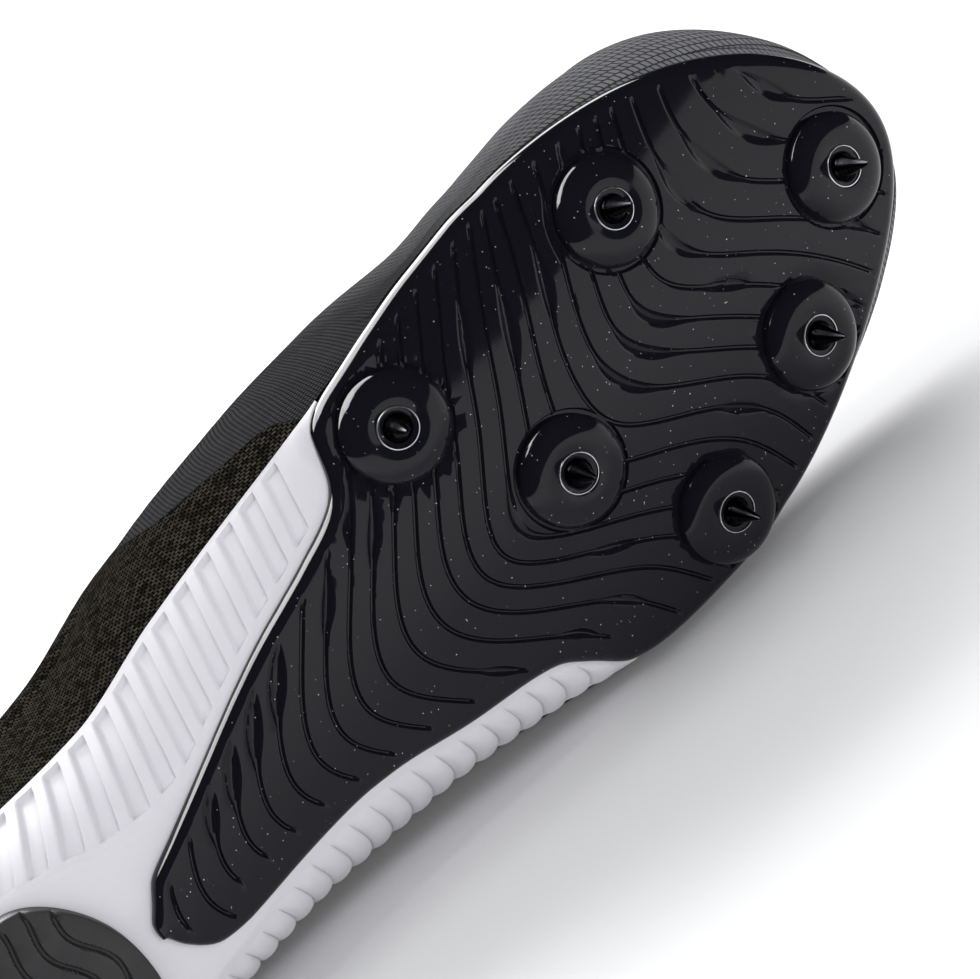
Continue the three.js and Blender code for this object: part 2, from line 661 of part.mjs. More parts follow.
// The upper is a ring of strips that run from the bite line to the collar and throat. around runs from 0 at the
// heel to 1 at the toe on one side. Its levels follow the edges of the pieces that lie on it.
const AROUND = 26;
const RAND_FROM = 15; // strips that the toe rand, the counter and the eyestay begin or end at
const COUNTER_TO = 7;
const STAY_FROM = 14;
const RAND_HEIGHT = 17;
const COUNTER_HEIGHT = 0.7; // share of the way up to the collar
const STAY_WIDTH = 12;
const GIRTH = { waist: 74, toe: 68 }; // the upper's side, from the bite line to the throat

function edgeAlong(around) {
  const corner = STAY_FROM / AROUND;
  if (around <= corner) return 0.02 + THROAT_TOP * (1 - Math.cos((Math.PI / 2) * (around / corner)));
  return THROAT_TOP + (THROAT_FRONT - THROAT_TOP) * Math.sin((Math.PI / 2) * ((around - corner) / (1 - corner)));
}

function upperPlace(side, around, up) {
  const footX = 0.02 + (LENGTH - 0.32) * (0.5 - 0.5 * Math.cos(Math.PI * around));
  const edgeX = edgeAlong(around);
  const front = Math.min(Math.max((around - 0.6) / 0.4, 0), 1);
  const back = Math.max(1 - around / 0.4, 0);
  const x = footX + (edgeX - footX) * up ** (1 + 0.9 * front ** 2 + 0.3 * back);
  return { x, side, reach: edgeReach(edgeX, side) * up ** (1 - 0.96 * front ** 2.2) };
}

function levels(step) {
  const around = step / AROUND;
  const rise = Math.min(Math.max((step - RAND_FROM) / (AROUND - RAND_FROM), 0), 1);
  const fall = Math.min(step / (COUNTER_TO + 0.2), 1);
  const girth = GIRTH.waist + (GIRTH.toe - GIRTH.waist) * rise;
  const rand = step >= RAND_FROM ? (0.42 + 0.58 * Math.min(rise * 1.8, 1)) * (RAND_HEIGHT / girth)
    : 0.17 - 0.009 * (step - COUNTER_TO);
  const counter = COUNTER_HEIGHT * Math.sqrt(1 - fall ** 2);
  const trim = step <= COUNTER_TO ? Math.max(counter, 0.08) : rand;
  const stay = around >= 0.4 ? 1 - STAY_WIDTH / girth : 0.88;
  const first = 0.015;
  const between = (a, b, t) => a + (b - a) * t;
  return [0, first, between(first, trim, 0.5), trim, between(trim, stay, 0.33), between(trim, stay, 0.67), stay,
    between(stay, 1, 0.5), 1];
}

// Places on one or both sides, strip by strip, from one strip to another and between two levels.
function strips(side, from, to, low, high) {
  const count = Math.abs(to - from);
  return Array.from({ length: count + 1 }, (_, i) => {
    const step = from + Math.sign(to - from) * i;
    return levels(step).slice(low, high + 1).map((up) => upperPlace(side, step / AROUND, up));
  });
}

function cover(places, offset) {
  return places.map((strip) => strip.map((p) => skin(p.x, p.side, p.reach, offset)));
}

const FIRST_EYELET = 7; // from the throat's top corner
const LAST_EYELET = 15; // from the throat's front end

function eyeletPlaces() {
  return even(THROAT_TOP + FIRST_EYELET, THROAT_FRONT - LAST_EYELET, EYELET_PAIRS - 1).flatMap((x) => [LATERAL, MEDIAL].map((side) => {
    const reach = reachWhere(x, side, (p) => Math.abs(p.y - RIDGE_SHIFT) < throatHalf(x) + EYELET_INSET);
    return { x, side, reach };
  }));
}

function punch(place, depth) {
  const { x, side, reach } = place;
  const turn = new THREE.Quaternion().setFromUnitVectors(new THREE.Vector3(0, 1, 0), lastNormal(x, side, reach));
  const seat = new THREE.Matrix4().compose(lastPoint(x, side, reach), turn, new THREE.Vector3(1, 1, 1));
  return solidOf(new THREE.CylinderGeometry(EYELET_RADIUS, EYELET_RADIUS, depth, 6)).transform(seat.elements);
}

const eyelets = eyeletPlaces();

const punched = (body, depth) => eyelets.reduce((left, place) => left.subtract(punch(place, depth)), body);

function upperSolid() {
  const places = [...strips(LATERAL, 0, AROUND, 0, 8), ...strips(MEDIAL, AROUND - 1, 1, 0, 8)];
  return punched(shell(cover(places, 0), cover(places, -WALL), true), 4 * WALL);
}

// A film or stiffener that lies on the upper, made from the upper's own strips.
function overlay(places) {
  return shell(cover(places, OVERLAY_GAP + OVERLAY), cover(places, OVERLAY_GAP), false);
}

function randSolid() {
  return overlay([...strips(LATERAL, RAND_FROM, AROUND, 1, 3), ...strips(MEDIAL, AROUND - 1, RAND_FROM, 1, 3)]);
}

function counterSolid() {
  return overlay([...strips(LATERAL, COUNTER_TO, 0, 1, 3), ...strips(MEDIAL, 1, COUNTER_TO, 1, 3)]);
}

function staySolid() {
  const places = [...strips(LATERAL, STAY_FROM, AROUND, 6, 8), ...strips(MEDIAL, AROUND - 1, STAY_FROM, 6, 8)];
  return punched(overlay(places), 6 * WALL);
}

// Tongue, insole and lace
const TONGUE_CLEAR = 1.6;
const TONGUE_TAPER = { from: 150, share: 0.25 }; // it narrows towards the toe

function tongueSolid() {
  const marks = even(TONGUE_TOP, TONGUE_END, 11);
  const half = (x) => {
    const t = Math.max((x - TONGUE_TAPER.from) / (TONGUE_END - TONGUE_TAPER.from), 0);
    return TONGUE_HALF * (1 - TONGUE_TAPER.share * t);
  };
  const grid = (offset) => marks.map((x) => [LATERAL, MEDIAL].flatMap((side) => {
    const edge = reachWhere(x, side, (p) => Math.abs(p.y - RIDGE_SHIFT) < half(x));
    const reaches = side === LATERAL ? even(edge, 1, 4) : even(1, edge, 4).slice(1);
    return reaches.map((reach) => skin(x, side, Math.min(reach, 0.999), offset));
  }));
  return shell(grid(-WALL - TONGUE_CLEAR), grid(-WALL - TONGUE_CLEAR - TONGUE_THICK), false);
}

// The insole bends from the raised foam of the waist down to the thin foam of the forefoot.
function bedHeight(x) {
  const raised = x < SPRING_START ? biteHeight(x) : 0;
  const thin = ground(x, 0) + FOAM_SEAT + FOAM_FOREFOOT;
  return Math.max(raised, thin) + 1.5 * Math.exp(-Math.abs(raised - thin) / 2.5);
}

const INSOLE_INSET = 2.2; // from the upper's wall
const INSOLE_END = 6; // from the heel, and from the foam's toe end
const INSOLE_ROUND = 8.5;

function insoleSolid() {
  const inset = WALL + INSOLE_INSET;
  const marks = stations(INSOLE_END, FOAM_TOE - INSOLE_END, 17);
  return loft(marks.map((x) => {
    const base = bedHeight(x) + 3 * GAP;
    const t = Math.min((x - INSOLE_END + 0.5) / INSOLE_ROUND, 1);
    const round = Math.sqrt(1 - (1 - t) ** 2);
    const edges = [LATERAL, MEDIAL].map((s) => (biteRows(x, s) - s * inset) * round);
    const across = even(edges[0], edges[1], 6);
    const bow = (y) => (x < SPRING_START ? 0 : (y * y) / (2 * CROWN_RADIUS));
    return [
      ...across.map((y) => new THREE.Vector3(x, y, base + bow(y))),
      ...across.reverse().map((y) => new THREE.Vector3(x, y, base + bow(y) + INSOLE_THICK)),
    ];
  }));
}

const LACE_LIFT = 1.3; // over the eyestay

function laceSolid() {
  const above = OVERLAY_GAP + OVERLAY + LACE_LIFT;
  const seat = (place) => skin(place.x, place.side, place.reach, above + LACE_THICK / 2);
  const strand = (from, to) => {
    const path = even(0, 1, 4).map((t) => {
      const x = from.x + (to.x - from.x) * t;
      const y = seat(from).y + (seat(to).y - seat(from).y) * t;
      const side = y > RIDGE_SHIFT ? MEDIAL : LATERAL;
      const reach = reachWhere(x, side, (p) => Math.abs(p.y - RIDGE_SHIFT) < Math.abs(y - RIDGE_SHIFT));
      return skin(x, side, Math.min(reach, 0.985), above + LACE_THICK / 2);
    });
    return loft(path.map((p, i) => {
      const ahead = path[Math.min(i + 1, path.length - 1)];
      const behind = path[Math.max(i - 1, 0)];
      const along = ahead.clone().sub(behind).normalize();
      const up = new THREE.Vector3(0.35, 0, 1).normalize();
      const wide = along.clone().cross(up).normalize();
      const high = wide.clone().cross(along).normalize();
      return [[-1, -0.5], [-0.7, 0.5], [0.7, 0.5], [1, -0.5]].map(([w, h]) => p.clone()
        .addScaledVector(wide, (w * LACE_WIDTH) / 2).addScaledVector(high, h * LACE_THICK));
    }));
  };
  const strands = [strand(eyelets.at(-2), eyelets.at(-1))];
  for (let i = 0; i + 3 < eyelets.length; i += 2) {
    strands.push(strand(eyelets[i], eyelets[i + 3]), strand(eyelets[i + 1], eyelets[i + 2]));
  }
  return strands.reduce((lace, piece) => lace.add(piece));
}

add("plate", plateSolid(), "plate");
add("midsole", midsoleSolid(), "foam");
add("heel_pad", padSolid(), "rubber");
add("upper", upperSolid(), "mesh");
add("toe_rand", randSolid(), "film");
add("heel_counter", counterSolid(), "film");
add("eyestay", staySolid(), "film");
add("tongue", tongueSolid(), "lining");
add("insole", insoleSolid(), "lining");
add("lace", laceSolid(), "cord");
seats.forEach((seat, i) => {
  add(`socket_${i + 1}`, socketSolid().transform(seat.elements), "steel");
  add(`spike_${i + 1}`, spikeSolid().transform(seat.elements), "pin");
});

// The shoe lies on its medial side. The face it rests on is the one of its hull, on that side, that its centre of
// mass stands over.
function restingFace() {
  const points = shoe.children.flatMap((mesh) => {
    const place = mesh.geometry.attributes.position;
    return Array.from({ length: place.count }, (_, i) => new THREE.Vector3().fromBufferAttribute(place, i));
  });
  const balance = new THREE.Vector3(BALANCE.x * LENGTH, BALANCE.y * BALL_WIDTH, BALANCE.z);
  const stands = (face) => {
    const corners = [0, 1, 2].map((i) => face.getEdge(i).head().point);
    return corners.every((corner, i) => {
      const edge = corners[(i + 1) % 3].clone().sub(corner);
      return edge.cross(balance.clone().sub(corner)).dot(face.normal) > 0;
    });
  };
  const hull = new ConvexHull().setFromPoints(points);
  return hull.faces.find((face) => face.normal.y > 0.6 && stands(face)).normal;
}

const down = restingFace();
const along = new THREE.Vector3(1, 0, 0).addScaledVector(down, -down.x).normalize();
const upward = down.clone().negate();
const turn = new THREE.Matrix4().makeBasis(along, upward.clone().cross(along), upward).transpose();
shoe.applyMatrix4(turn);
const box = new THREE.Box3().setFromObject(shoe, true);
shoe.position.sub(new THREE.Vector3((box.min.x + box.max.x) / 2, (box.min.y + box.max.y) / 2, box.min.z));

const part = new THREE.Group();
part.add(shoe);
export default part;
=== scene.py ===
import math
import bpy
import numpy as np
from mathutils import Matrix, Vector
from mathutils.geometry import delaunay_2d_cdt


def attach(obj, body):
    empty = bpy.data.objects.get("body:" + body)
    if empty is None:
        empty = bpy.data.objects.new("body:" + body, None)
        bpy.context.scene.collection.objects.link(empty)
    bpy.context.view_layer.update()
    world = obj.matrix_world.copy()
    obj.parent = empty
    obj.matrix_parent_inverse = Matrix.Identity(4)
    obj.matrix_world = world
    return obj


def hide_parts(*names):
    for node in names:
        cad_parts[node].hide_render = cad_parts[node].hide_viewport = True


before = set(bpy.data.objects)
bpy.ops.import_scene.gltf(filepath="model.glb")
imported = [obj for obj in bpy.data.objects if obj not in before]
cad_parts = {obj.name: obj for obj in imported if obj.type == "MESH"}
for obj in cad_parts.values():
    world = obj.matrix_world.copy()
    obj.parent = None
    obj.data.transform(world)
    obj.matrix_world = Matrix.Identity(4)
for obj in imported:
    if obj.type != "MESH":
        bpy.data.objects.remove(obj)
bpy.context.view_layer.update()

# How the shoe lies
# Every piece is drawn in the standing shoe's own millimetres: x from heel to toe, y to the medial side, z up.
# The sole's profile is the frame's, and the six spike sockets of the frame tell how the shoe was laid down.
LENGTH = 287
BALL_WIDTH = 100
CROWN_RADIUS = 235
SPRING = {"angle": math.radians(21), "start": 165, "bend": 62}
ARCH = {"rise": 2.5, "centre": 98, "half_length": 44}
SPIKES = [  # shares of the length and the ball width; turn is how far each was screwed round
    {"x": 0.940, "y": 0.094, "turn": 10},
    {"x": 0.790, "y": -0.262, "turn": 35},
    {"x": 0.835, "y": 0.280, "turn": 50},
    {"x": 0.696, "y": 0.372, "turn": 0},
    {"x": 0.634, "y": 0.030, "turn": 20},
    {"x": 0.569, "y": -0.319, "turn": 5},
]
SOCKET_MIDDLE = 1.25  # mean height of a socket's corners over the plate's face
LATERAL = -1
MEDIAL = 1


def ground(x, y):
    """The height of the plate's lower face: toe spring, arch and the crown from side to side."""
    ahead = np.maximum(x - SPRING["start"], 0)
    spring = math.tan(SPRING["angle"]) * (ahead - SPRING["bend"] * (1 - np.exp(-ahead / SPRING["bend"])))
    near = np.minimum(np.abs(x - ARCH["centre"]) / ARCH["half_length"], 1)
    return spring + ARCH["rise"] * (0.5 + 0.5 * np.cos(np.pi * near)) + y * y / (2 * CROWN_RADIUS)


def seat_of(spike):
    """Where a spike's axis leaves the plate's lower face, and its direction."""
    x, y = spike["x"] * LENGTH, spike["y"] * BALL_WIDTH
    step = 0.5
    slope = (ground(x + step, y) - ground(x - step, y)) / (2 * step)
    bank = (ground(x, y + step) - ground(x, y - step)) / (2 * step)
    axis = np.array([slope, bank, -1.0])
    return np.array([x, y, ground(x, y)]), axis / np.linalg.norm(axis)


def corners_of(node):
    """The node's corner points, each once, in metres."""
    corners = np.array([vertex.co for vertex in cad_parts[node].data.vertices])
    return np.unique(np.round(corners, 7), axis=0)


seats = [seat_of(spike) for spike in SPIKES]
drawn = np.array([place + axis * SOCKET_MIDDLE for place, axis in seats])
packed = 1000 * np.array([corners_of(f"socket_{i + 1}").mean(0) for i in range(len(SPIKES))])
left, _, right = np.linalg.svd((drawn - drawn.mean(0)).T @ (packed - packed.mean(0)))
lay_turn = (left * [1, 1, np.linalg.det(left @ right)]) @ right
lay_shift = packed.mean(0) - drawn.mean(0) @ lay_turn


def lay(points):
    """Points of the standing shoe, in millimetres, as places in the frame, in metres."""
    return (np.asarray(points, float) @ lay_turn + lay_shift) / 1000


# Camera
# It looks up at the sole from the toe's side, as the photograph does: a long lens, close, and rolled so that
# the toe points to the upper right corner.
CAMERA_PLACE = (91.1, -334.6, -826.0)
CAMERA_AIM = (168.04, -5.2, 7.3)
CAMERA_TOP = (0.740, -0.645, 0.187)  # this way of the shoe is up in the picture
LENS = 160
SENSOR = 36

place, aim = Vector(lay(CAMERA_PLACE)), Vector(lay(CAMERA_AIM))
back = (place - aim).normalized()
up = Vector(np.array(CAMERA_TOP) @ lay_turn)
side = up.cross(back).normalized()
bpy.ops.object.camera_add()
camera = bpy.context.object
camera.name = "camera"
camera.data.lens = LENS
camera.data.sensor_width = SENSOR
camera.matrix_world = Matrix((side, back.cross(side), back)).transposed().to_4x4()
camera.location = place
bpy.context.scene.camera = camera

# Floor and studio light
# A plain pale floor that ends some way in front of the shoe, soft lights overhead, in front and behind, and a
# card that only the gloss mirrors. The plate mirrors the floor as grey and the dark room in front as black.
FLOOR = {"left": -5.0, "right": 5.0, "front": -0.62, "back": 9.0}
FLOOR_COLOUR = (0.92, 0.92, 0.925)
ROOM_COLOUR = (0.95, 0.96, 1.0)
ROOM_STRENGTH = 0.38
LIGHTS = [
    {"name": "overhead", "place": (-0.5, 0.1, 1.6), "aim": (0.0, 0.0, 0.05), "width": 0.9, "depth": 0.7,
     "power": 8},
    {"name": "front", "place": (0.2, -1.5, 0.35), "aim": (0.0, 0.0, 0.05), "width": 1.2, "depth": 0.5,
     "power": 12},
    {"name": "backdrop", "place": (0.6, 3.6, 2.4), "aim": (0.6, 3.6, 0.0), "width": 4.0, "depth": 3.0,
     "power": 330},
    {"name": "gloss_card", "place": (-0.3, 0.5, 1.2), "aim": (0.0, 0.0, 0.05), "width": 1.6, "depth": 1.4,
     "power": 110},
]


def wire(tree, kind, inputs, **settings):
    """A shader node whose sockets are set to values or joined to other sockets."""
    made = tree.nodes.new("ShaderNode" + kind)
    for name, value in settings.items():
        setattr(made, name, value)
    for name, value in inputs.items():
        if isinstance(value, bpy.types.NodeSocket):
            tree.links.new(value, made.inputs[name])
        else:
            made.inputs[name].default_value = value
    return made


def finish_of(name, colour, roughness, **more):
    """A material with its values on the shader's own sockets."""
    material = bpy.data.materials.new(name)
    material.use_nodes = True
    shader = material.node_tree.nodes["Principled BSDF"]
    shader.inputs["Base Color"].default_value = (*colour, 1)
    shader.inputs["Roughness"].default_value = roughness
    for socket, value in more.items():
        shader.inputs[socket.replace("_", " ")].default_value = value
    return material, material.node_tree, shader


bpy.ops.object.select_all(action="DESELECT")
bpy.ops.mesh.primitive_plane_add(size=1)
floor = bpy.context.object
floor.name = "floor"
bpy.ops.object.mode_set(mode="EDIT")
bpy.ops.transform.resize(value=(FLOOR["right"] - FLOOR["left"], FLOOR["back"] - FLOOR["front"], 1))
bpy.ops.transform.translate(value=((FLOOR["right"] + FLOOR["left"]) / 2,
                                   (FLOOR["back"] + FLOOR["front"]) / 2, 0))
bpy.ops.object.mode_set(mode="OBJECT")
floor_paint, floor_tree, floor_shader = finish_of("floor_paint", FLOOR_COLOUR, 0.65)
mottle = wire(floor_tree, "TexNoise", {"Scale": 2.0, "Detail": 3.0})
shade = wire(floor_tree, "MapRange", {"Value": mottle.outputs["Fac"], "To Min": 0.62, "To Max": 0.68})
floor_tree.links.new(shade.outputs["Result"], floor_shader.inputs["Roughness"])
floor_shader.inputs["Specular IOR Level"].default_value = 0.1
floor.data.materials.append(floor_paint)

for light in LIGHTS:
    bpy.ops.object.light_add(type="AREA", location=light["place"])
    lamp = bpy.context.object
    lamp.name = light["name"]
    lamp.data.shape = "RECTANGLE"
    lamp.data.size = light["width"]
    lamp.data.size_y = light["depth"]
    lamp.data.energy = light["power"]
    lamp.visible_diffuse = light["name"] != "gloss_card"
    lamp.visible_glossy = light["name"] != "front"
    lamp.rotation_euler = (Vector(light["place"]) - Vector(light["aim"])).to_track_quat("Z", "Y").to_euler()

room = bpy.data.worlds.new("room")
bpy.context.scene.world = room
room.use_nodes = True
room.node_tree.nodes["Background"].inputs["Color"].default_value = (*ROOM_COLOUR, 1)
room.node_tree.nodes["Background"].inputs["Strength"].default_value = ROOM_STRENGTH
room.cycles_visibility.glossy = False
bpy.context.scene.view_settings.view_transform = "Standard"

# Plate
# One moulding of glossy black plastic with silver flecks, from the narrow tail at the waist to the toe. Its
# face is cut into planks by wavy grooves that swell here and there, and stops at a moat round each boss.
PLATE_THICK = 3
PLATE_ROUND = 2.4  # rounded lower edge
PLATE_EDGE = [  # x is a share of the length, the widths are shares of the ball width
    {"x": 0.190, "lateral": 0.035, "medial": 0.035},
    {"x": 0.198, "lateral": 0.02, "medial": 0.12},
    {"x": 0.218, "lateral": 0.05, "medial": 0.16},
    {"x": 0.248, "lateral": 0.078, "medial": 0.175},
    {"x": 0.300, "lateral": 0.126, "medial": 0.178},
    {"x": 0.355, "lateral": 0.18, "medial": 0.185},
    {"x": 0.390, "lateral": 0.212, "medial": 0.2},
    {"x": 0.455, "lateral": 0.262, "medial": 0.253},
    {"x": 0.495, "lateral": 0.3, "medial": 0.281},
    {"x": 0.506, "lateral": 0.325, "medial": 0.29},
    {"x": 0.528, "lateral": 0.435, "medial": 0.316},
    {"x": 0.545, "lateral": 0.458, "medial": 0.365},
    {"x": 0.568, "lateral": 0.47, "medial": 0.44},
    {"x": 0.605, "lateral": 0.486, "medial": 0.474},
    {"x": 0.650, "lateral": 0.498, "medial": 0.49},
    {"x": 0.700, "lateral": 0.5, "medial": 0.5},
    {"x": 0.735, "lateral": 0.49, "medial": 0.49},
]
TOE_BEGIN = 0.735
HEEL_END = 0.14
TOE_SHIFT = 7
TAIL = PLATE_EDGE[0]["x"] * LENGTH
TAIL_ROUND = 9
TAIL_CENTRE = 5.5
RIM_POINTS = 420
BOSS_RADIUS = 12
MOAT = {"inner": 11.6, "outer": 13.1, "depth": 0.9}
GROOVE_HALF = 0.6
GROOVE_DEPTH = 0.8
GROOVE_BED = 0.25  # share of the half width that is the flat bed
GROOVE_LIP = 0.35  # rounded edge of the planks
GROOVE_STEP = 1.1  # along a groove, between two points
ACROSS = (-42, -30, -18, -6, 6, 18, 30, 42)
GROOVES = [  # counted from the toe: x of every third groove where it crosses each y of ACROSS
    {"groove": 1, "x": (282, 271, 270, 275, 286, 292, 296, 298)},
    {"groove": 4, "x": (252, 245, 241, 243, 253, 262, 268, 272)},
    {"groove": 7, "x": (236, 227, 220, 217, 226, 236, 243, 248)},
    {"groove": 10, "x": (215, 208, 200, 195, 197, 211, 221, 224)},
    {"groove": 13, "x": (200, 190, 181, 171, 167, 181, 195, 202)},
    {"groove": 16, "x": (182, 171, 161, 151, 148, 156, 169, 176)},
    {"groove": 19, "x": (165, 154, 142, 130, 125, 131, 140, 148)},
    {"groove": 22, "x": (145, 133, 121, 109, 103, 108, 118, 128)},
    {"groove": 25, "x": (122, 111, 99, 88, 81, 85, 95, 105)},
    {"groove": 28, "x": (100, 89, 78, 67, 60, 63, 73, 83)},
]
GROOVE_ENDS = {1: 6, 17: 36, 18: 27, 19: 22, 20: 19, 21: 17, 22: 15, 23: 13, 24: 12, 25: 11, 26: 10}
SWELLS = [  # where a groove widens: its middle, half its length, and how far each edge moves out
    {"groove": 1, "y": -14, "long": 7, "toe": 1.8, "heel": 1.3},
    {"groove": 2, "y": -12, "long": 9, "toe": 1.7, "heel": 1.4},
    {"groove": 3, "y": -15, "long": 9, "toe": 1.4, "heel": 1.5},
    {"groove": 4, "y": -17, "long": 8, "toe": 1.0, "heel": 1.5},
    {"groove": 4, "y": 20, "long": 6, "toe": 1.4, "heel": 0.6},
    {"groove": 5, "y": -11, "long": 8, "toe": 0.6, "heel": 1.7},
    {"groove": 6, "y": 5, "long": 6, "toe": 1.4, "heel": 0.8},
    {"groove": 6, "y": 30, "long": 5, "toe": 1.4, "heel": 0.4},
    {"groove": 7, "y": -4, "long": 8, "toe": 0.4, "heel": 1.7},
    {"groove": 8, "y": -2, "long": 9, "toe": 0.4, "heel": 1.8},
    {"groove": 8, "y": -38, "long": 6, "toe": 1.3, "heel": 0.4},
    {"groove": 9, "y": -1, "long": 9, "toe": 0.4, "heel": 1.7},
    {"groove": 9, "y": -33, "long": 7, "toe": 0.4, "heel": 1.4},
    {"groove": 9, "y": 29, "long": 5, "toe": 1.3, "heel": 0.4},
    {"groove": 10, "y": -27, "long": 8, "toe": 1.5, "heel": 0.6},
    {"groove": 10, "y": 25, "long": 6, "toe": 0.4, "heel": 1.3},
    {"groove": 12, "y": -27, "long": 9, "toe": 1.7, "heel": 0.7},
    {"groove": 13, "y": 2, "long": 7, "toe": 0.6, "heel": 1.1},
    {"groove": 14, "y": -33, "long": 7, "toe": 1.4, "heel": 0.4},
    {"groove": 14, "y": 22, "long": 6, "toe": 0.4, "heel": 1.1},
    {"groove": 16, "y": 32, "long": 6, "toe": 1.1, "heel": 0.6},
    {"groove": 17, "y": 29, "long": 5, "toe": 1.3, "heel": 0.3},
    {"groove": 18, "y": 21, "long": 5, "toe": 0.8, "heel": 0.7},
    {"groove": 18, "y": -24, "long": 7, "toe": 1.7, "heel": 0.3},
    {"groove": 19, "y": -20, "long": 7, "toe": 1.3, "heel": 0.8},
    {"groove": 20, "y": -27, "long": 8, "toe": 0.3, "heel": 1.8},
    {"groove": 21, "y": -17, "long": 7, "toe": 1.1, "heel": 0.6},
    {"groove": 23, "y": -13, "long": 9, "toe": 1.4, "heel": 1.7},
    {"groove": 24, "y": -10, "long": 9, "toe": 1.3, "heel": 1.7},
    {"groove": 25, "y": -7, "long": 8, "toe": 1.3, "heel": 1.7},
    {"groove": 26, "y": -5, "long": 7, "toe": 1.1, "heel": 1.5},
]


def monotone(rows, column):
    """A monotone cubic through a table's rows, the same curve that the frame's solids follow."""
    xs = np.array([row["x"] for row in rows], float)
    ys = np.array([row[column] for row in rows], float)
    step, slope = np.diff(xs), np.diff(ys) / np.diff(xs)
    tangent = np.zeros(len(xs))
    tangent[0], tangent[-1] = slope[0], slope[-1]
    for i in range(1, len(xs) - 1):
        if slope[i - 1] * slope[i] > 0:
            a, b = 2 * step[i] + step[i - 1], step[i] + 2 * step[i - 1]
            tangent[i] = (a + b) / (a / slope[i - 1] + b / slope[i])

    def value(x):
        x = np.clip(x, xs[0], xs[-1])
        i = np.clip(np.searchsorted(xs, x, side="right") - 1, 0, len(step) - 1)
        t = (x - xs[i]) / step[i]
        near = ys[i] * (2 * t**3 - 3 * t**2 + 1) + step[i] * tangent[i] * (t**3 - 2 * t**2 + t)
        return near + ys[i + 1] * (3 * t**2 - 2 * t**3) + step[i] * tangent[i + 1] * (t**3 - t**2)

    return value


def toe_shift(x):
    return TOE_SHIFT * np.clip((x / LENGTH - TOE_BEGIN) / (1 - TOE_BEGIN), 0, 1) ** 4


def heel_curve(x):
    return np.sqrt(1 - np.clip((HEEL_END - x / LENGTH) / HEEL_END, 0, 1) ** 2.3)


def outline(rows):
    """How far an edge lies from the shoe's middle line, at x, on one side."""
    widths = {LATERAL: monotone(rows, "lateral"), MEDIAL: monotone(rows, "medial")}

    def edge(x, side):
        t = np.clip((x / LENGTH - TOE_BEGIN) / (1 - TOE_BEGIN), 0, 1)
        half = widths[side](x / LENGTH) * BALL_WIDTH * np.sqrt(1 - t**1.5) * heel_curve(x)
        return side * half + toe_shift(x)

    return edge


plate_rows = outline(PLATE_EDGE)


def plate_edge(x, side):
    t = np.clip((x - TAIL) / TAIL_ROUND, 0, 1)
    return TAIL_CENTRE + (plate_rows(x, side) - TAIL_CENTRE) * np.sqrt(1 - (1 - t) ** 2)


def evenly(points, count, closed=False):
    """Points at equal distances along a polyline."""
    points = np.vstack([points, points[:1]]) if closed else np.asarray(points)
    along = np.concatenate([[0], np.cumsum(np.linalg.norm(np.diff(points, axis=0), axis=1))])
    marks = np.linspace(0, along[-1], count + 1)[:count] if closed else np.linspace(0, along[-1], count)
    return np.stack([np.interp(marks, along, column) for column in points.T], 1)


def rim_line(inset):
    """The plate's outline, moved in by a distance, as a closed loop seen in plan."""
    x = TAIL + (LENGTH - TAIL) * (0.5 - 0.5 * np.cos(np.linspace(0, np.pi, 400)))
    lateral = np.stack([x, plate_edge(x, LATERAL)], 1)
    medial = np.stack([x, plate_edge(x, MEDIAL)], 1)
    loop = evenly(np.vstack([lateral, medial[::-1]]), RIM_POINTS, closed=True)
    along = np.roll(loop, -1, 0) - np.roll(loop, 1, 0)
    along /= np.linalg.norm(along, axis=1)[:, None]
    return loop + inset * np.stack([-along[:, 1], along[:, 0]], 1)


def spline(xs, ys):
    """A natural cubic spline that runs straight on past its ends; gives its value and its slope."""
    xs, ys = np.array(xs, float), np.array(ys, float)
    step = np.diff(xs)
    system = np.eye(len(xs))
    bend = np.zeros(len(xs))
    for i in range(1, len(xs) - 1):
        system[i, i - 1:i + 2] = step[i - 1], 2 * (step[i - 1] + step[i]), step[i]
        bend[i] = 6 * ((ys[i + 1] - ys[i]) / step[i] - (ys[i] - ys[i - 1]) / step[i - 1])
    curve = np.linalg.solve(system, bend)

    def value(x):
        inside = np.clip(x, xs[0], xs[-1])
        i = np.clip(np.searchsorted(xs, inside, side="right") - 1, 0, len(step) - 1)
        h, a, b = step[i], xs[i + 1] - inside, inside - xs[i]
        near, far = ys[i] / h - curve[i] * h / 6, ys[i + 1] / h - curve[i + 1] * h / 6
        height = (curve[i] * a**3 + curve[i + 1] * b**3) / (6 * h) + near * a + far * b
        slope = (curve[i + 1] * b**2 - curve[i] * a**2) / (2 * h) - near + far
        return height + slope * (x - inside), slope

    return value


def groove_lines():
    """One curve for each groove: its x and its slope at y."""
    table = np.array([row["x"] for row in GROOVES], float)
    known = [row["groove"] for row in GROOVES]
    count = range(known[0], known[-1] + 1)
    columns = [spline(known, table[:, j])(np.array(count, float))[0] for j in range(len(ACROSS))]
    return {k: spline(ACROSS, [column[i] for column in columns]) for i, k in enumerate(count)}


grooves = groove_lines()
rim_inner = rim_line(PLATE_ROUND)


def soft_step(t):
    t = np.clip(t, 0, 1)
    return t * t * (3 - 2 * t)


def from_rim(points):
    """Distance to the inner edge of the plate's rounded rim."""
    blocks = np.array_split(points, max(len(points) // 4000, 1))
    return np.concatenate([np.linalg.norm(b[:, None] - rim_inner[None], axis=2).min(1) for b in blocks])


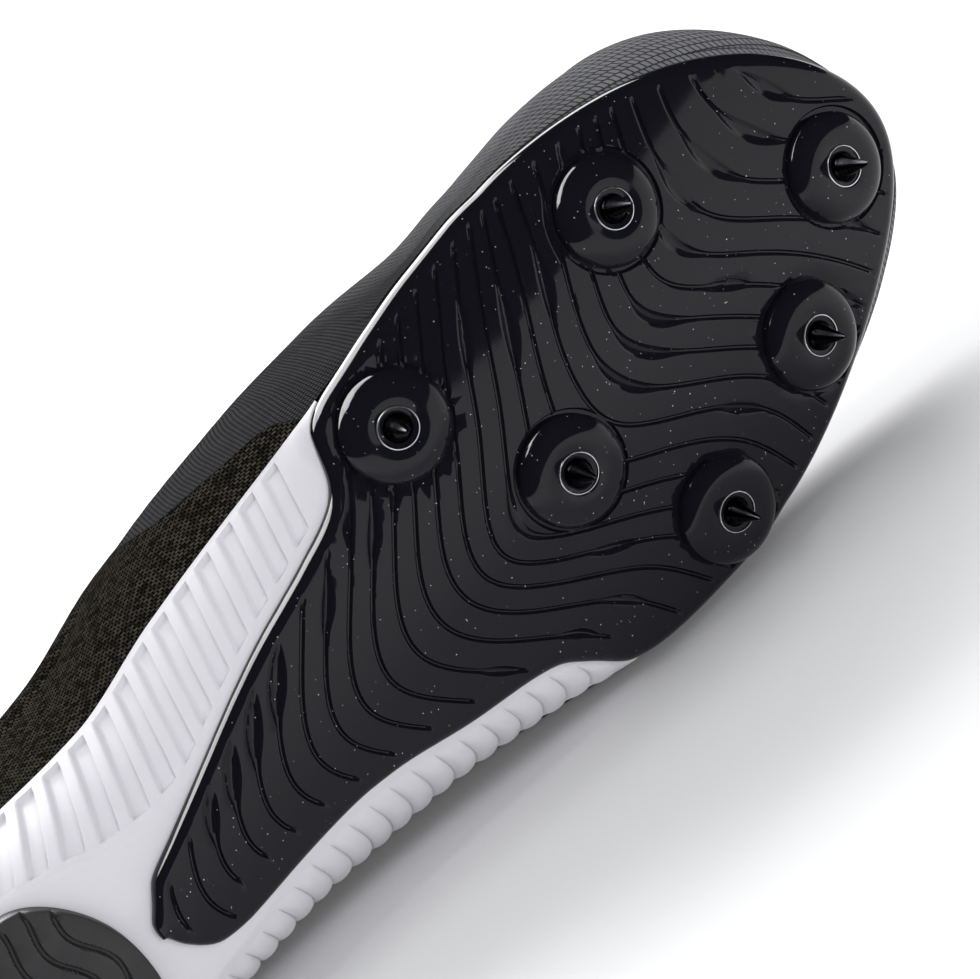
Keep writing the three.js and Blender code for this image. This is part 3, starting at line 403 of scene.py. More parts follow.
def groove_sides(k, y):
    """Half widths of groove k at y, towards the toe and towards the heel."""
    sides = {"toe": np.full(len(y), GROOVE_HALF), "heel": np.full(len(y), GROOVE_HALF)}
    for swell in (row for row in SWELLS if row["groove"] == k):
        slope = abs(float(grooves[k](np.array(swell["y"]))[1]))
        t = (y - swell["y"]) * math.hypot(1, slope) / swell["long"]
        for way in sides:
            sides[way] = sides[way] + swell[way] * np.clip(1 - t * t, 0, 1) ** 1.5
    return sides["toe"], sides["heel"]


def face_depth(points):
    """How deep the plate's face is cut at each point, by grooves and moats."""
    depth = np.zeros(len(points))
    fade = soft_step((from_rim(points) - 0.2) / 1.8)
    for k, line in grooves.items():
        x, slope = line(points[:, 1])
        off = (points[:, 0] - x) / np.hypot(1, slope)
        near = np.abs(off) < 6
        if not near.any():
            continue
        toe, heel = groove_sides(k, points[near, 1])
        half = np.where(off[near] > 0, toe, heel)
        t = (np.abs(off[near]) / half - GROOVE_BED) / (1 - GROOVE_BED)
        cut = (GROOVE_DEPTH + 0.25 * (half - GROOVE_HALF)) * (1 - soft_step(t)) * fade[near]
        if k in GROOVE_ENDS:
            cut = cut * soft_step((GROOVE_ENDS[k] - points[near, 1]) / 1.6)
        depth[near] = np.maximum(depth[near], cut)
    for place, _ in seats:
        away = np.linalg.norm(points - place[:2], axis=1)
        wall = soft_step((away - MOAT["outer"] + 0.5) / 0.5)
        depth = np.maximum(depth, MOAT["depth"] * (1 - wall) * (away > MOAT["inner"] - 3))
    return depth


def face_outline():
    """Points and edges, in plan, that the plate's face is built on: rim, plank edges and moats."""
    points, edges = [rim_inner], [[(i, (i + 1) % RIM_POINTS) for i in range(RIM_POINTS)]]
    count = RIM_POINTS

    def chain(line, closed=False):
        nonlocal count
        keep = (from_rim(line) > 0.5) & inside_rim(line)
        if not closed:
            for place, _ in seats:
                keep &= np.linalg.norm(line - place[:2], axis=1) > MOAT["inner"] - 1
        elif not keep.all():
            return
        number = count + np.cumsum(keep) - 1
        last = len(line) if closed else len(line) - 1
        after = [(i + 1) % len(line) for i in range(last)]
        joined = [(number[i], number[after[i]]) for i in range(last) if keep[i] and keep[after[i]]]
        points.append(line[keep])
        edges.append(joined)
        count += int(keep.sum())

    for k, line in grooves.items():
        y = np.arange(-52, min(GROOVE_ENDS.get(k, 52), 52), 0.1)
        x, _ = line(y)
        way = np.stack([x, y], 1)
        middle = evenly(way, int(np.linalg.norm(np.diff(way, axis=0), axis=1).sum() / GROOVE_STEP))
        _, slope = line(middle[:, 1])
        outward = np.stack([np.ones(len(slope)), -slope], 1) / np.hypot(1, slope)[:, None]
        toe, heel = groove_sides(k, middle[:, 1])
        for share, lip in ((GROOVE_BED, 0), (0.7, 0), (1, 0), (1, GROOVE_LIP)):
            chain(middle + outward * (toe * share + lip)[:, None])
            chain(middle - outward * (heel * share + lip)[:, None])
        for between in (2.6, 4.6):
            chain(middle[::3] + outward[::3] * (toe[::3] + between)[:, None])
    for place, _ in seats:
        for radius in (MOAT["inner"], MOAT["outer"] - 0.5, MOAT["outer"] - 0.25, MOAT["outer"],
                       MOAT["outer"] + 0.3):
            angle = np.linspace(0, 2 * np.pi, 73)[:-1]
            chain(place[:2] + radius * np.stack([np.cos(angle), np.sin(angle)], 1), closed=True)
    return np.vstack(points), [edge for group in edges for edge in group]


def inside_rim(points):
    x = np.clip(points[:, 0], TAIL, LENGTH)
    low, high = plate_edge(x, LATERAL), plate_edge(x, MEDIAL)
    return (points[:, 0] > TAIL) & (points[:, 0] < LENGTH) & (points[:, 1] > low) & (points[:, 1] < high)


def piece_of(name, points, faces, finish, replaces=()):
    """A finished piece from points in millimetres: smooth, in its material, on the shoe's body."""
    mesh = bpy.data.meshes.new(name)
    mesh.from_pydata(lay(points).tolist(), [], [list(map(int, face)) for face in faces])
    mesh.update()
    piece = bpy.data.objects.new(name, mesh)
    bpy.context.scene.collection.objects.link(piece)
    return settle(piece, finish, replaces)


def settle(piece, finish, replaces=()):
    """Gives a piece its material, smooth shading, its body and the node that it stands for."""
    bpy.ops.object.select_all(action="DESELECT")
    bpy.context.view_layer.objects.active = piece
    piece.select_set(True)
    chosen = [face.material_index for face in piece.data.polygons]
    piece.data.materials.clear()
    for material in finish if isinstance(finish, list) else [finish]:
        piece.data.materials.append(material)
    piece.data.polygons.foreach_set("material_index", chosen)
    bpy.ops.object.mode_set(mode="EDIT")
    bpy.ops.mesh.select_all(action="SELECT")
    bpy.ops.mesh.normals_make_consistent(inside=False)
    bpy.ops.object.mode_set(mode="OBJECT")
    bpy.ops.object.shade_smooth_by_angle(angle=math.radians(50))
    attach(piece, "root")
    if replaces:
        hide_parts(*replaces)
    return piece


def plate_mesh():
    plan, edges = face_outline()
    made = delaunay_2d_cdt([Vector(p) for p in plan], edges, [list(range(RIM_POINTS))], 1, 1e-4)
    face = np.array([tuple(p) for p in made[0]])
    triangles = [list(f) for f in made[2]]
    rim_at = {origin: i for i, origins in enumerate(made[3]) for origin in origins if origin < RIM_POINTS}
    ring = [rim_at[i] for i in range(RIM_POINTS)]
    height = ground(face[:, 0], face[:, 1])
    points = [np.column_stack([face, height + face_depth(face)])]
    total, faces = len(face), triangles
    for step in np.linspace(0, np.pi / 2, 8)[1:].tolist() + [None]:
        inset = 0 if step is None else PLATE_ROUND * (1 - math.sin(step))
        lift = PLATE_THICK if step is None else PLATE_ROUND * (1 - math.cos(step))
        loop = rim_line(inset)
        points.append(np.column_stack([loop, ground(loop[:, 0], loop[:, 1]) + lift]))
        upper = list(range(total, total + RIM_POINTS))
        faces += [[ring[i], ring[(i + 1) % RIM_POINTS], upper[(i + 1) % RIM_POINTS], upper[i]]
                  for i in range(RIM_POINTS)]
        total, ring = total + RIM_POINTS, upper
    loop = rim_line(0)
    top = delaunay_2d_cdt([Vector(p) for p in loop], [], [list(range(RIM_POINTS))], 1, 1e-4)
    faces += [[ring[top[3][i][0]] for i in f] for f in top[2]]
    return np.vstack(points), faces


def plate_finish():
    """Black gloss with tiny silver flecks in it, denser in some cells than in others."""
    material, tree, shader = finish_of("gloss_black_fleck", (0.006, 0.006, 0.009), 0.07)
    shader.inputs["Specular IOR Level"].default_value = 0.3
    place = wire(tree, "TexCoord", {}).outputs["Object"]
    layers = []
    for scale, radius, share in ((720, 0.085, 0.45), (430, 0.055, 0.5)):
        cells = wire(tree, "TexVoronoi", {"Vector": place, "Scale": scale})
        dot = wire(tree, "Math", {0: cells.outputs["Distance"], 1: radius}, operation="LESS_THAN")
        pick = wire(tree, "SeparateColor", {"Color": cells.outputs["Color"]})
        chosen = wire(tree, "Math", {0: pick.outputs["Red"], 1: share}, operation="LESS_THAN")
        lit = wire(tree, "Math", {0: dot.outputs[0], 1: chosen.outputs[0]}, operation="MULTIPLY")
        layers.append(wire(tree, "Math", {0: lit.outputs[0], 1: pick.outputs["Green"]}, operation="MULTIPLY"))
    flecks = wire(tree, "Math", {0: layers[0].outputs[0], 1: layers[1].outputs[0]}, operation="MAXIMUM")
    colour = wire(tree, "MixRGB", {"Fac": flecks.outputs[0], "Color1": (0.006, 0.006, 0.009, 1),
                                   "Color2": (0.6, 0.6, 0.66, 1)})
    tree.links.new(colour.outputs["Color"], shader.inputs["Base Color"])
    haze = wire(tree, "TexNoise", {"Vector": place, "Scale": 60.0, "Detail": 4.0})
    rough = wire(tree, "MapRange", {"Value": haze.outputs["Fac"], "To Min": 0.05, "To Max": 0.10})
    tree.links.new(rough.outputs["Result"], shader.inputs["Roughness"])
    return material


gloss_black = plate_finish()
plate_points, plate_faces = plate_mesh()
plate = piece_of("spike_plate", plate_points, plate_faces, gloss_black, ["plate"])

# Bosses
# Six round domes, moulded in one with the plate, each with a flat face that the spike's socket sits in.
BOSS_FACE = 7.6
BOSS_HEIGHT = 3.6
SOCKET_RADIUS = 4.5
GAP = 0.3


def turned(name, profile, sides=72, closed=False):
    """A turned shape: a profile of radius and height, spun round its axis."""
    mesh = bpy.data.meshes.new(name)
    links = [(i, i + 1) for i in range(len(profile) - 1)] + ([(len(profile) - 1, 0)] if closed else [])
    mesh.from_pydata([(radius, 0, height) for radius, height in profile], links, [])
    piece = bpy.data.objects.new(name, mesh)
    bpy.context.scene.collection.objects.link(piece)
    bpy.ops.object.select_all(action="DESELECT")
    bpy.context.view_layer.objects.active = piece
    piece.select_set(True)
    bpy.ops.object.mode_set(mode="EDIT")
    bpy.ops.mesh.select_all(action="SELECT")
    bpy.ops.mesh.spin(steps=sides, angle=2 * math.pi, center=(0, 0, 0), axis=(0, 0, 1))
    bpy.ops.mesh.select_all(action="SELECT")
    bpy.ops.mesh.remove_doubles(threshold=1e-3)
    bpy.ops.object.mode_set(mode="OBJECT")
    return piece


def seat_matrix(spike, place, axis):
    """From a piece drawn upright in millimetres at the origin to its seat in the frame."""
    along = Vector(axis @ lay_turn)
    spun = Matrix.Rotation(math.radians(spike["turn"]), 4, "Z").to_quaternion()
    turn = along.to_track_quat("Z", "Y") @ spun
    return Matrix.Translation(lay(place)) @ turn.to_matrix().to_4x4() @ Matrix.Scale(0.001, 4)


def seated_copies(model, name, finish, nodes):
    """One copy of a turned piece on each seat, each with its own mesh."""
    for i, (spike, (place, axis)) in enumerate(zip(SPIKES, seats)):
        copy = bpy.data.objects.new(f"{name}_{i + 1}", model.data.copy())
        bpy.context.scene.collection.objects.link(copy)
        copy.data.transform(seat_matrix(spike, place, axis))
        settle(copy, finish, [f"{nodes}_{i + 1}"] if nodes else [])
    bpy.data.objects.remove(model)


dome = [
    (BOSS_FACE - 1 + 5.6 * math.cos(a), -0.6 + (BOSS_HEIGHT + 0.62) * math.sin(a))
    for a in np.radians(np.linspace(17, 77.5, 12))
]
boss = turned("boss", [
    (0, -1.2), (BOSS_RADIUS, -1.2), (BOSS_RADIUS, 0.2), *dome,
    (BOSS_FACE - 0.4, BOSS_HEIGHT + 0.02), (SOCKET_RADIUS + 0.4, BOSS_HEIGHT + 0.02),
    (SOCKET_RADIUS + 0.12, BOSS_HEIGHT - 0.1), (SOCKET_RADIUS + 0.1, 0.4), (0, 0.4),
])
seated_copies(boss, "plate_boss", gloss_black, None)

# Sockets
# Pressed steel threads in the bosses: a thin bright rim shows round each spike, the rest is dark inside.
SOCKET_RIM = BOSS_HEIGHT + 0.15
SOCKET_FLOOR = BOSS_HEIGHT - 2
SOCKET_SHELF = BOSS_HEIGHT - 0.25  # a black washer just below the rim


def metal_finish(name, colour, roughness, scratch):
    material, tree, shader = finish_of(name, colour, roughness, Metallic=1.0)
    place = wire(tree, "TexCoord", {}).outputs["Object"]
    marks = wire(tree, "TexNoise", {"Vector": place, "Scale": 900.0, "Detail": 6.0})
    rough = wire(tree, "MapRange", {"Value": marks.outputs["Fac"], "To Min": roughness * 0.7,
                                    "To Max": roughness * 1.5})
    tree.links.new(rough.outputs["Result"], shader.inputs["Roughness"])
    bump = wire(tree, "Bump", {"Height": marks.outputs["Fac"], "Strength": scratch, "Distance": 0.0001})
    tree.links.new(bump.outputs["Normal"], shader.inputs["Normal"])
    return material


RIM_WIDTH = 0.2
bright_steel = metal_finish("bright_steel", (0.82, 0.82, 0.84), 0.3, 0.1)
black_steel = metal_finish("black_coated_steel", (0.02, 0.02, 0.024), 0.2, 0.15)
socket = turned("socket", [
    (2.55, SOCKET_FLOOR - 2.4), (SOCKET_RADIUS, SOCKET_FLOOR - 2.4), (SOCKET_RADIUS, SOCKET_RIM - 0.06),
    (SOCKET_RADIUS - 0.06, SOCKET_RIM), (SOCKET_RADIUS - RIM_WIDTH, SOCKET_RIM),
    (SOCKET_RADIUS - 0.3, SOCKET_SHELF),
    (3.25, SOCKET_SHELF), (3.15, SOCKET_SHELF - 0.1), (3.15, SOCKET_FLOOR), (2.55, SOCKET_FLOOR),
], closed=True)
for face in socket.data.polygons:
    face.material_index = int(math.hypot(face.center.x, face.center.y) < SOCKET_RADIUS - RIM_WIDTH)
seated_copies(socket, "socket_ring", [bright_steel, gloss_black], "socket")

# Spikes
# Screw-in cone pins, black coated: a six-sided wrench body low in the socket and a stout cone above it.
PIN_LENGTH = 8.5
PIN_FOOT = 2.7
SPIKE_SEAT = SOCKET_FLOOR + GAP
spike = turned("spike", [
    (0, SPIKE_SEAT - 2.6), (2.15, SPIKE_SEAT - 2.6), (2.15, SPIKE_SEAT), (2.9, SPIKE_SEAT),
    (3.0, SPIKE_SEAT + 0.1),
    (3.0, BOSS_HEIGHT - 0.2), (PIN_FOOT, BOSS_HEIGHT + 0.1), (PIN_FOOT - 0.2, BOSS_HEIGHT + 0.6),
    (1.5, BOSS_HEIGHT + PIN_LENGTH * 0.45), (0.45, BOSS_HEIGHT + PIN_LENGTH * 0.95),
    (0.3, BOSS_HEIGHT + PIN_LENGTH * 0.99), (0, BOSS_HEIGHT + PIN_LENGTH),
], sides=48)
seated_copies(spike, "spike_pin", [black_steel], "spike")

# Midsole
# A white foam wedge under the heel and waist, moulded with ribbed sides: slanting recessed panels outside, a
# row of soft bulging cells inside. Under the ball it thins to a flat layer that lies inside the upper.
FOAM_SEAT = PLATE_THICK + 1.3 * GAP
HEEL_SIT = 27
BITE_EDGE = [
    {"x": 0.140, "lateral": 0.31, "medial": 0.345},
    {"x": 0.255, "lateral": 0.295, "medial": 0.352},
    {"x": 0.350, "lateral": 0.345, "medial": 0.375},
    {"x": 0.425, "lateral": 0.385, "medial": 0.388},
    {"x": 0.520, "lateral": 0.435, "medial": 0.428},
    {"x": 0.575, "lateral": 0.468, "medial": 0.462},
    {"x": 0.650, "lateral": 0.493, "medial": 0.487},
    {"x": 0.700, "lateral": 0.495, "medial": 0.495},
    {"x": 0.735, "lateral": 0.485, "medial": 0.487},
]
BITE_RISE = [
    {"x": 0.0, "rise": 1},
    {"x": 0.16, "rise": 0.96},
    {"x": 0.27, "rise": 0.87},
    {"x": 0.36, "rise": 0.73},
    {"x": 0.45, "rise": 0.56},
    {"x": 0.52, "rise": 0.36},
    {"x": 0.575, "rise": 0.17},
    {"x": 1.0, "rise": 0.12},
]
FOOT_SHARE = [{"x": 0.0, "share": 0.92}, {"x": 0.1, "share": 0.86}, {"x": 0.19, "share": 0.62}]
TAIL_BLEND = 30
BELLY = {"share": 0.1, "most": 2.2}
WALL_LEAST = 0.5
WING_END = {LATERAL: 0.545 * LENGTH, MEDIAL: 0.572 * LENGTH}
RIB_FRONT = 0.5 * LENGTH
RIB_PITCH = 7.5
RIB_SLANT = 11
RIB_DEPTH = 1.3
PANELS = 17
PANEL_FOOT = 0.1
PANEL_HEAD = 0.93
PANEL_SECTION = [  # across one panel, from the toe's side: distance to its middle, and depth as a share
    {"x": 2.8, "depth": 0.0}, {"x": 2.5, "depth": 0.03}, {"x": 2.2, "depth": 1.0}, {"x": 1.4, "depth": 1.0},
    {"x": 0.2, "depth": 0.98}, {"x": -0.9, "depth": 0.95}, {"x": -1.4, "depth": 0.85},
    {"x": -1.8, "depth": 0.4},
    {"x": -2.2, "depth": -0.08}, {"x": -2.6, "depth": -0.16}, {"x": -3.2, "depth": -0.1},
    {"x": -4.0, "depth": -0.04},
]
LOBE_PITCH = 5.65
LOBE_DEPTH = 1.2
LOBE_BOW = 1.3
LOBE_PHASES = (0.0, 0.03, 0.09, 0.2, 0.38, 0.6, 0.8, 0.91, 0.97)
RIB_BACK = 12
WALL_ROWS = (0, 0.02, 0.045, 0.07, 0.09, 0.105, 0.125, 0.16, 0.24, 0.33, 0.43, 0.53, 0.63, 0.73, 0.82, 0.88,
             0.905, 0.92, 0.94, 0.955, 0.97, 0.985, 1.0)
FOAM_TOE = 0.925 * LENGTH
WALL = 2.2

bite_rows = outline(BITE_EDGE)
rise_share = monotone(BITE_RISE, "rise")
foot_share = monotone(FOOT_SHARE, "share")


def bite_height(x):
    """The top of the foam at its edge, where the upper begins."""
    edge = 0.5 * (np.abs(bite_rows(x, LATERAL)) + np.abs(bite_rows(x, MEDIAL)))
    return ground(x, edge) + np.maximum(HEEL_SIT * rise_share(x / LENGTH), PLATE_THICK + GAP)


def foot_edge(x, side):
    rear = bite_rows(x, side) * foot_share(x / LENGTH)
    at_plate = plate_edge(x, side) + side * GAP
    tail = np.where(np.abs(rear) > np.abs(at_plate), rear, at_plate)
    blend = np.clip((x - TAIL) / TAIL_BLEND, 0, 1)
    return np.where(x < TAIL, rear, tail + (at_plate - tail) * blend)


def wall_point(x, side, t):
    """The foam's side between its lower edge and the bite line."""
    foot, top = foot_edge(x, side), bite_rows(x, side)
    low = ground(x, foot) + FOAM_SEAT
    high = np.maximum(bite_height(x), low + WALL_LEAST)
    belly = np.sin(np.pi * t) * np.minimum((high - low) * BELLY["share"], BELLY["most"])
    y = foot + (top - foot) * t + side * belly
    return np.stack([x, y, low + (high - low) * t**1.12 - belly * 0.5], -1)


def grid_normals(grid):
    """Unit normals of a grid of points, from its neighbours."""
    normal = np.cross(np.gradient(grid, axis=0), np.gradient(grid, axis=1))
    return normal / np.maximum(np.linalg.norm(normal, axis=2), 1e-9)[:, :, None]


def band(t, start, full):
    return soft_step((t - start) / (full - start))


def lateral_wall():
    """Columns from the foam's outer tip back to the heel, and how far each point stands out."""
    nose = np.linspace(WING_END[LATERAL], RIB_FRONT - 0.6, 14)[:-1]
    stations, depth = list(nose), [0.0] * len(nose)
    for i in range(PANELS):
        for row in PANEL_SECTION:
            stations.append(RIB_FRONT - RIB_PITCH * (i + 0.5) + row["x"])
            depth.append(row["depth"])
    heel = (stations[-1] - 0.8) * (1 - np.sin(np.linspace(0, np.pi / 2, 26)))
    stations, depth = np.array([*stations, *heel]), np.array([*depth, *[0.0] * len(heel)])
    t = np.array(WALL_ROWS)[None, :]
    station = stations[:, None]
    tall = np.minimum((bite_height(station) - ground(station, 0)) / HEEL_SIT, 1)
    ends = np.clip((WING_END[LATERAL] - station) / (WING_END[LATERAL] - RIB_FRONT), 0, 1)
    ends = ends * np.clip((station - 2) / 28, 0, 1)
    x = station - RIB_SLANT * (1 - t) ** 1.3 * tall * ends
    rows = band(t, PANEL_FOOT - 0.012, PANEL_FOOT + 0.012)
    rows = rows * (1 - band(t, PANEL_HEAD - 0.02, PANEL_HEAD + 0.01))
    return wall_point(x, LATERAL, t), -RIB_DEPTH * depth[:, None] * rows


def medial_wall():
    """Columns from the heel forward to the inner tip, and how far each point stands out."""
    heel = RIB_BACK * (1 - np.cos(np.linspace(0, np.pi / 2, 16)))[1:-1]
    lobes = int((WING_END[MEDIAL] - RIB_BACK) / LOBE_PITCH)
    cells = [RIB_BACK + LOBE_PITCH * (i + phase) for i in range(lobes) for phase in LOBE_PHASES]
    stations = np.array([*heel, *cells, *np.linspace(RIB_BACK + LOBE_PITCH * lobes, WING_END[MEDIAL], 6)])
    t = np.array(WALL_ROWS)[None, :]
    station = stations[:, None]
    phase = (station - RIB_BACK) / LOBE_PITCH
    live = (station > RIB_BACK) & (station < RIB_BACK + LOBE_PITCH * lobes)
    swell = np.where(live, LOBE_DEPTH * np.sqrt(np.abs(np.sin(np.pi * phase))) - 0.35, 0)
    rows = band(t, 0.1, 0.24) * (1 - 0.75 * band(t, 0.93, 1.0))
    near = np.clip((WING_END[MEDIAL] - station) / 12, 0, 1) * np.clip(station / 12, 0, 1)
    x = station + LOBE_BOW * np.sin(np.pi * t) * near
    return wall_point(x, MEDIAL, t), swell * rows * near


def cap(ring, first, height, inner):
    """Faces over a closed ring seen in plan. Inner points get their height from a function."""
    count = len(ring)
    made = delaunay_2d_cdt([Vector(p[:2]) for p in [*ring, *inner]], [], [list(range(count))], 1, 1e-4)
    number, added = [], []
    for place, origins in zip(made[0], made[3]):
        old = [origin for origin in origins if origin < count]
        number.append(first + old[0] if old else None)
        if not old:
            number[-1] = -1 - len(added)
            added.append([place.x, place.y, float(height(place.x, place.y))])
    return added, [[number[i] for i in face] for face in made[2]]


def capped(rings, low, high, low_inner=(), high_inner=()):
    """A closed body from rings of the same count, one above the other, closed by a cap at each end."""
    rings = [np.asarray(ring) for ring in rings]
    count = len(rings[0])
    points, faces = [*np.vstack(rings)], []
    for i in range(len(rings) - 1):
        for j in range(count):
            k = (j + 1) % count
            faces.append([i * count + j, i * count + k, (i + 1) * count + k, (i + 1) * count + j])
    for ring, first, height, inner in (
            (rings[0], 0, low, low_inner), (rings[-1], (len(rings) - 1) * count, high, high_inner)):
        added, closing = cap(ring, first, height, inner)
        start = len(points)
        points += [np.array(p) for p in added]
        faces += [[start - 1 - i if i < 0 else i for i in face] for face in closing]
    return np.array(points), faces


def spread_inside(loop, spacing, margin):
    """Points of a square pattern that lie inside a loop, seen in plan, away from its edge."""
    low, high = loop[:, :2].min(0), loop[:, :2].max(0)
    xs, ys = np.meshgrid(np.arange(low[0], high[0], spacing), np.arange(low[1], high[1], spacing))
    points = np.stack([xs.ravel(), ys.ravel()], 1)
    a, b = loop[:, :2], np.roll(loop[:, :2], -1, 0)
    rise = np.where(np.abs(b[:, 1] - a[:, 1]) < 1e-9, 1e-9, b[:, 1] - a[:, 1])
    crossed = (a[None, :, 1] > points[:, None, 1]) != (b[None, :, 1] > points[:, None, 1])
    at = a[None, :, 0] + (points[:, None, 1] - a[None, :, 1]) / rise[None] * (b - a)[None, :, 0]
    inside = (crossed & (points[:, None, 0] < at)).sum(1) % 2 == 1
    apart = np.linalg.norm(points[:, None] - a[None], axis=2).min(1)
    return points[inside & (apart > margin)]


def wedge_mesh():
    outer, outer_relief = lateral_wall()
    inner, inner_relief = medial_wall()
    wall = np.vstack([outer, inner])
    relief = np.vstack([outer_relief, inner_relief])
    normal = grid_normals(wall)
    middle = np.array([LENGTH / 4, 0, 0])
    outward = np.sign(((wall - middle) * normal)[:, 8, :2].sum(1))
    wall = wall + normal * np.sign(outward.sum()) * relief[:, :, None]
    lip = wall[:, -1].copy()
    lip[:, :2] += (middle[:2] - lip[:, :2]) * 0.012
    lip[:, 2] += 0.15
    rings = [wall[:, i] for i in range(wall.shape[1])] + [lip]

    def low(x, y):
        return ground(x, y) + FOAM_SEAT

    def high(x, y):
        return bite_height(x) - 0.5

    return capped(rings, low, high, spread_inside(rings[0], 7, 3), spread_inside(lip, 7, 3))


def foam_finish():
    """Moulded white foam: a fine skin with a faint lavender cast and very small pits."""
    material, tree, shader = finish_of("white_foam", (0.66, 0.65, 0.68), 0.6, Subsurface_Weight=0.15,
                                       Subsurface_Radius=(0.004, 0.004, 0.004), Subsurface_Scale=0.5,
                                       Specular_IOR_Level=0.12)
    place = wire(tree, "TexCoord", {}).outputs["Object"]
    cloud = wire(tree, "TexNoise", {"Vector": place, "Scale": 35.0, "Detail": 3.0})
    tint = wire(tree, "MixRGB", {"Fac": cloud.outputs["Fac"], "Color1": (0.62, 0.61, 0.65, 1),
                                 "Color2": (0.70, 0.69, 0.72, 1)})
    tree.links.new(tint.outputs["Color"], shader.inputs["Base Color"])
    pits = wire(tree, "TexNoise", {"Vector": place, "Scale": 1400.0, "Detail": 2.0})
    bump = wire(tree, "Bump", {"Height": pits.outputs["Fac"], "Strength": 0.12, "Distance": 0.0002})
    tree.links.new(bump.outputs["Normal"], shader.inputs["Normal"])
    rough = wire(tree, "MapRange", {"Value": cloud.outputs["Fac"], "To Min": 0.48, "To Max": 0.62})
    tree.links.new(rough.outputs["Result"], shader.inputs["Roughness"])
    return material


def slab(loop, low, high, lower_round, upper_round, inner=()):
    """A flat piece on a closed outline, between two heights that functions give, with rounded rims."""
    along = np.roll(loop, -1, 0) - np.roll(loop, 1, 0)
    along /= np.linalg.norm(along, axis=1)[:, None]
    inward = np.stack([-along[:, 1], along[:, 0]], 1)
    if ((loop - loop.mean(0)) * inward).sum() > 0:
        inward = -inward
    rings = []
    for base, radius, way, angles in ((low, lower_round, 1, np.linspace(0, np.pi / 2, 5)),
                                      (high, upper_round, -1, np.linspace(np.pi / 2, 0, 5))):
        for angle in angles:
            ring = loop + inward * radius * (1 - np.sin(angle))
            height = base(ring[:, 0], ring[:, 1]) + way * radius * (1 - np.cos(angle))
            rings.append(np.column_stack([ring, height]))
    return capped(rings, low, high, inner if len(inner) else spread_inside(rings[0], 6, 2.5),
                  spread_inside(rings[-1], 6, 2.5))


def plan_loop(edge, start, end, count):
    """A closed outline in plan from an edge function of both sides."""
    x = start + (end - start) * (0.5 - 0.5 * np.cos(np.linspace(0, np.pi, 300)))
    sides = [np.stack([x, edge(x, side)], 1) for side in (LATERAL, MEDIAL)]
    return evenly(np.vstack([sides[0], sides[1][::-1]]), count, closed=True)


white_foam = foam_finish()
wedge_points, wedge_faces = wedge_mesh()
midsole = piece_of("foam_wedge", wedge_points, wedge_faces, white_foam, ["midsole"])

FORE_INSET = WALL + 1.8
fore_loop = plan_loop(lambda x, side: bite_rows(x, side) - side * FORE_INSET, WING_END[MEDIAL] + 0.6,
                      FOAM_TOE, 160)
fore_points, fore_faces = slab(fore_loop, lambda x, y: ground(x, y) + FOAM_SEAT,
                               lambda x, y: ground(x, y) + FOAM_SEAT + 3, 0.4, 0.4)
forefoot_foam = piece_of("forefoot_foam", fore_points, fore_faces, white_foam)

# Heel pad
# A thin black rubber tread glued under the heel, with cross grooves and a matte, slightly dusty face.
PAD_FRONT = 50
PAD_BACK = 4
PAD_INSET = 0.94
PAD_NOSE = 14
PAD_GROOVES = 7
PAD_GROOVE_HALF = 0.7
PAD_GROOVE_DEPTH = 1.1
PAD_WAVE = 1.6
PAD_WAVE_TURN = 0.28  # radians to the millimetre


def pad_edge(x, side):
    t = np.clip((x - PAD_FRONT + PAD_NOSE) / PAD_NOSE, 0, 1)
    back = np.clip((x - PAD_BACK) / 10, 0, 1)
    return foot_edge(x, side) * PAD_INSET * np.sqrt(1 - 0.995 * t**2.2) * np.sqrt(1 - (1 - back) ** 2)


def rubber_finish():
    material, tree, shader = finish_of("black_rubber", (0.018, 0.018, 0.02), 0.55)
    place = wire(tree, "TexCoord", {}).outputs["Object"]
    dust = wire(tree, "TexNoise", {"Vector": place, "Scale": 120.0, "Detail": 5.0})
    colour = wire(tree, "MixRGB", {"Fac": dust.outputs["Fac"], "Color1": (0.012, 0.012, 0.014, 1),
                                   "Color2": (0.035, 0.034, 0.034, 1)})
    tree.links.new(colour.outputs["Color"], shader.inputs["Base Color"])
    grain = wire(tree, "TexNoise", {"Vector": place, "Scale": 2200.0, "Detail": 2.0})
    bump = wire(tree, "Bump", {"Height": grain.outputs["Fac"], "Strength": 0.2, "Distance": 0.0002})
    tree.links.new(bump.outputs["Normal"], shader.inputs["Normal"])
    return material


def pad_mesh():
    loop = plan_loop(pad_edge, PAD_BACK, PAD_FRONT, 150)
    marks = np.linspace(PAD_BACK + 6, PAD_FRONT - 6, PAD_GROOVES)
    def wave(y):
        return PAD_WAVE * np.cos(y * PAD_WAVE_TURN)

    across = np.arange(-40, 40, 0.9)
    rows = [np.stack([mark + off + wave(across), across], 1) for mark in marks
            for off in (-1, -PAD_GROOVE_HALF, -0.3, 0.3, PAD_GROOVE_HALF, 1)]
    everywhere = np.vstack(rows)
    low, high = pad_edge(everywhere[:, 0], LATERAL) + 2, pad_edge(everywhere[:, 0], MEDIAL) - 2
    keep = (everywhere[:, 1] > low) & (everywhere[:, 1] < high) & (everywhere[:, 0] > PAD_BACK + 3)

    def face(x, y):
        off = np.min(np.abs(np.asarray(x)[..., None] - marks - wave(np.asarray(y))[..., None]), axis=-1)
        return ground(x, y) + PAD_GROOVE_DEPTH * (1 - soft_step((off - 0.3) / (PAD_GROOVE_HALF - 0.3)))

    return slab(loop, face, lambda x, y: ground(x, y) + PLATE_THICK, 0.6, 0.2, everywhere[keep])


pad_points, pad_faces = pad_mesh()
heel_pad = piece_of("heel_tread", pad_points, pad_faces, rubber_finish(), ["heel_pad"])

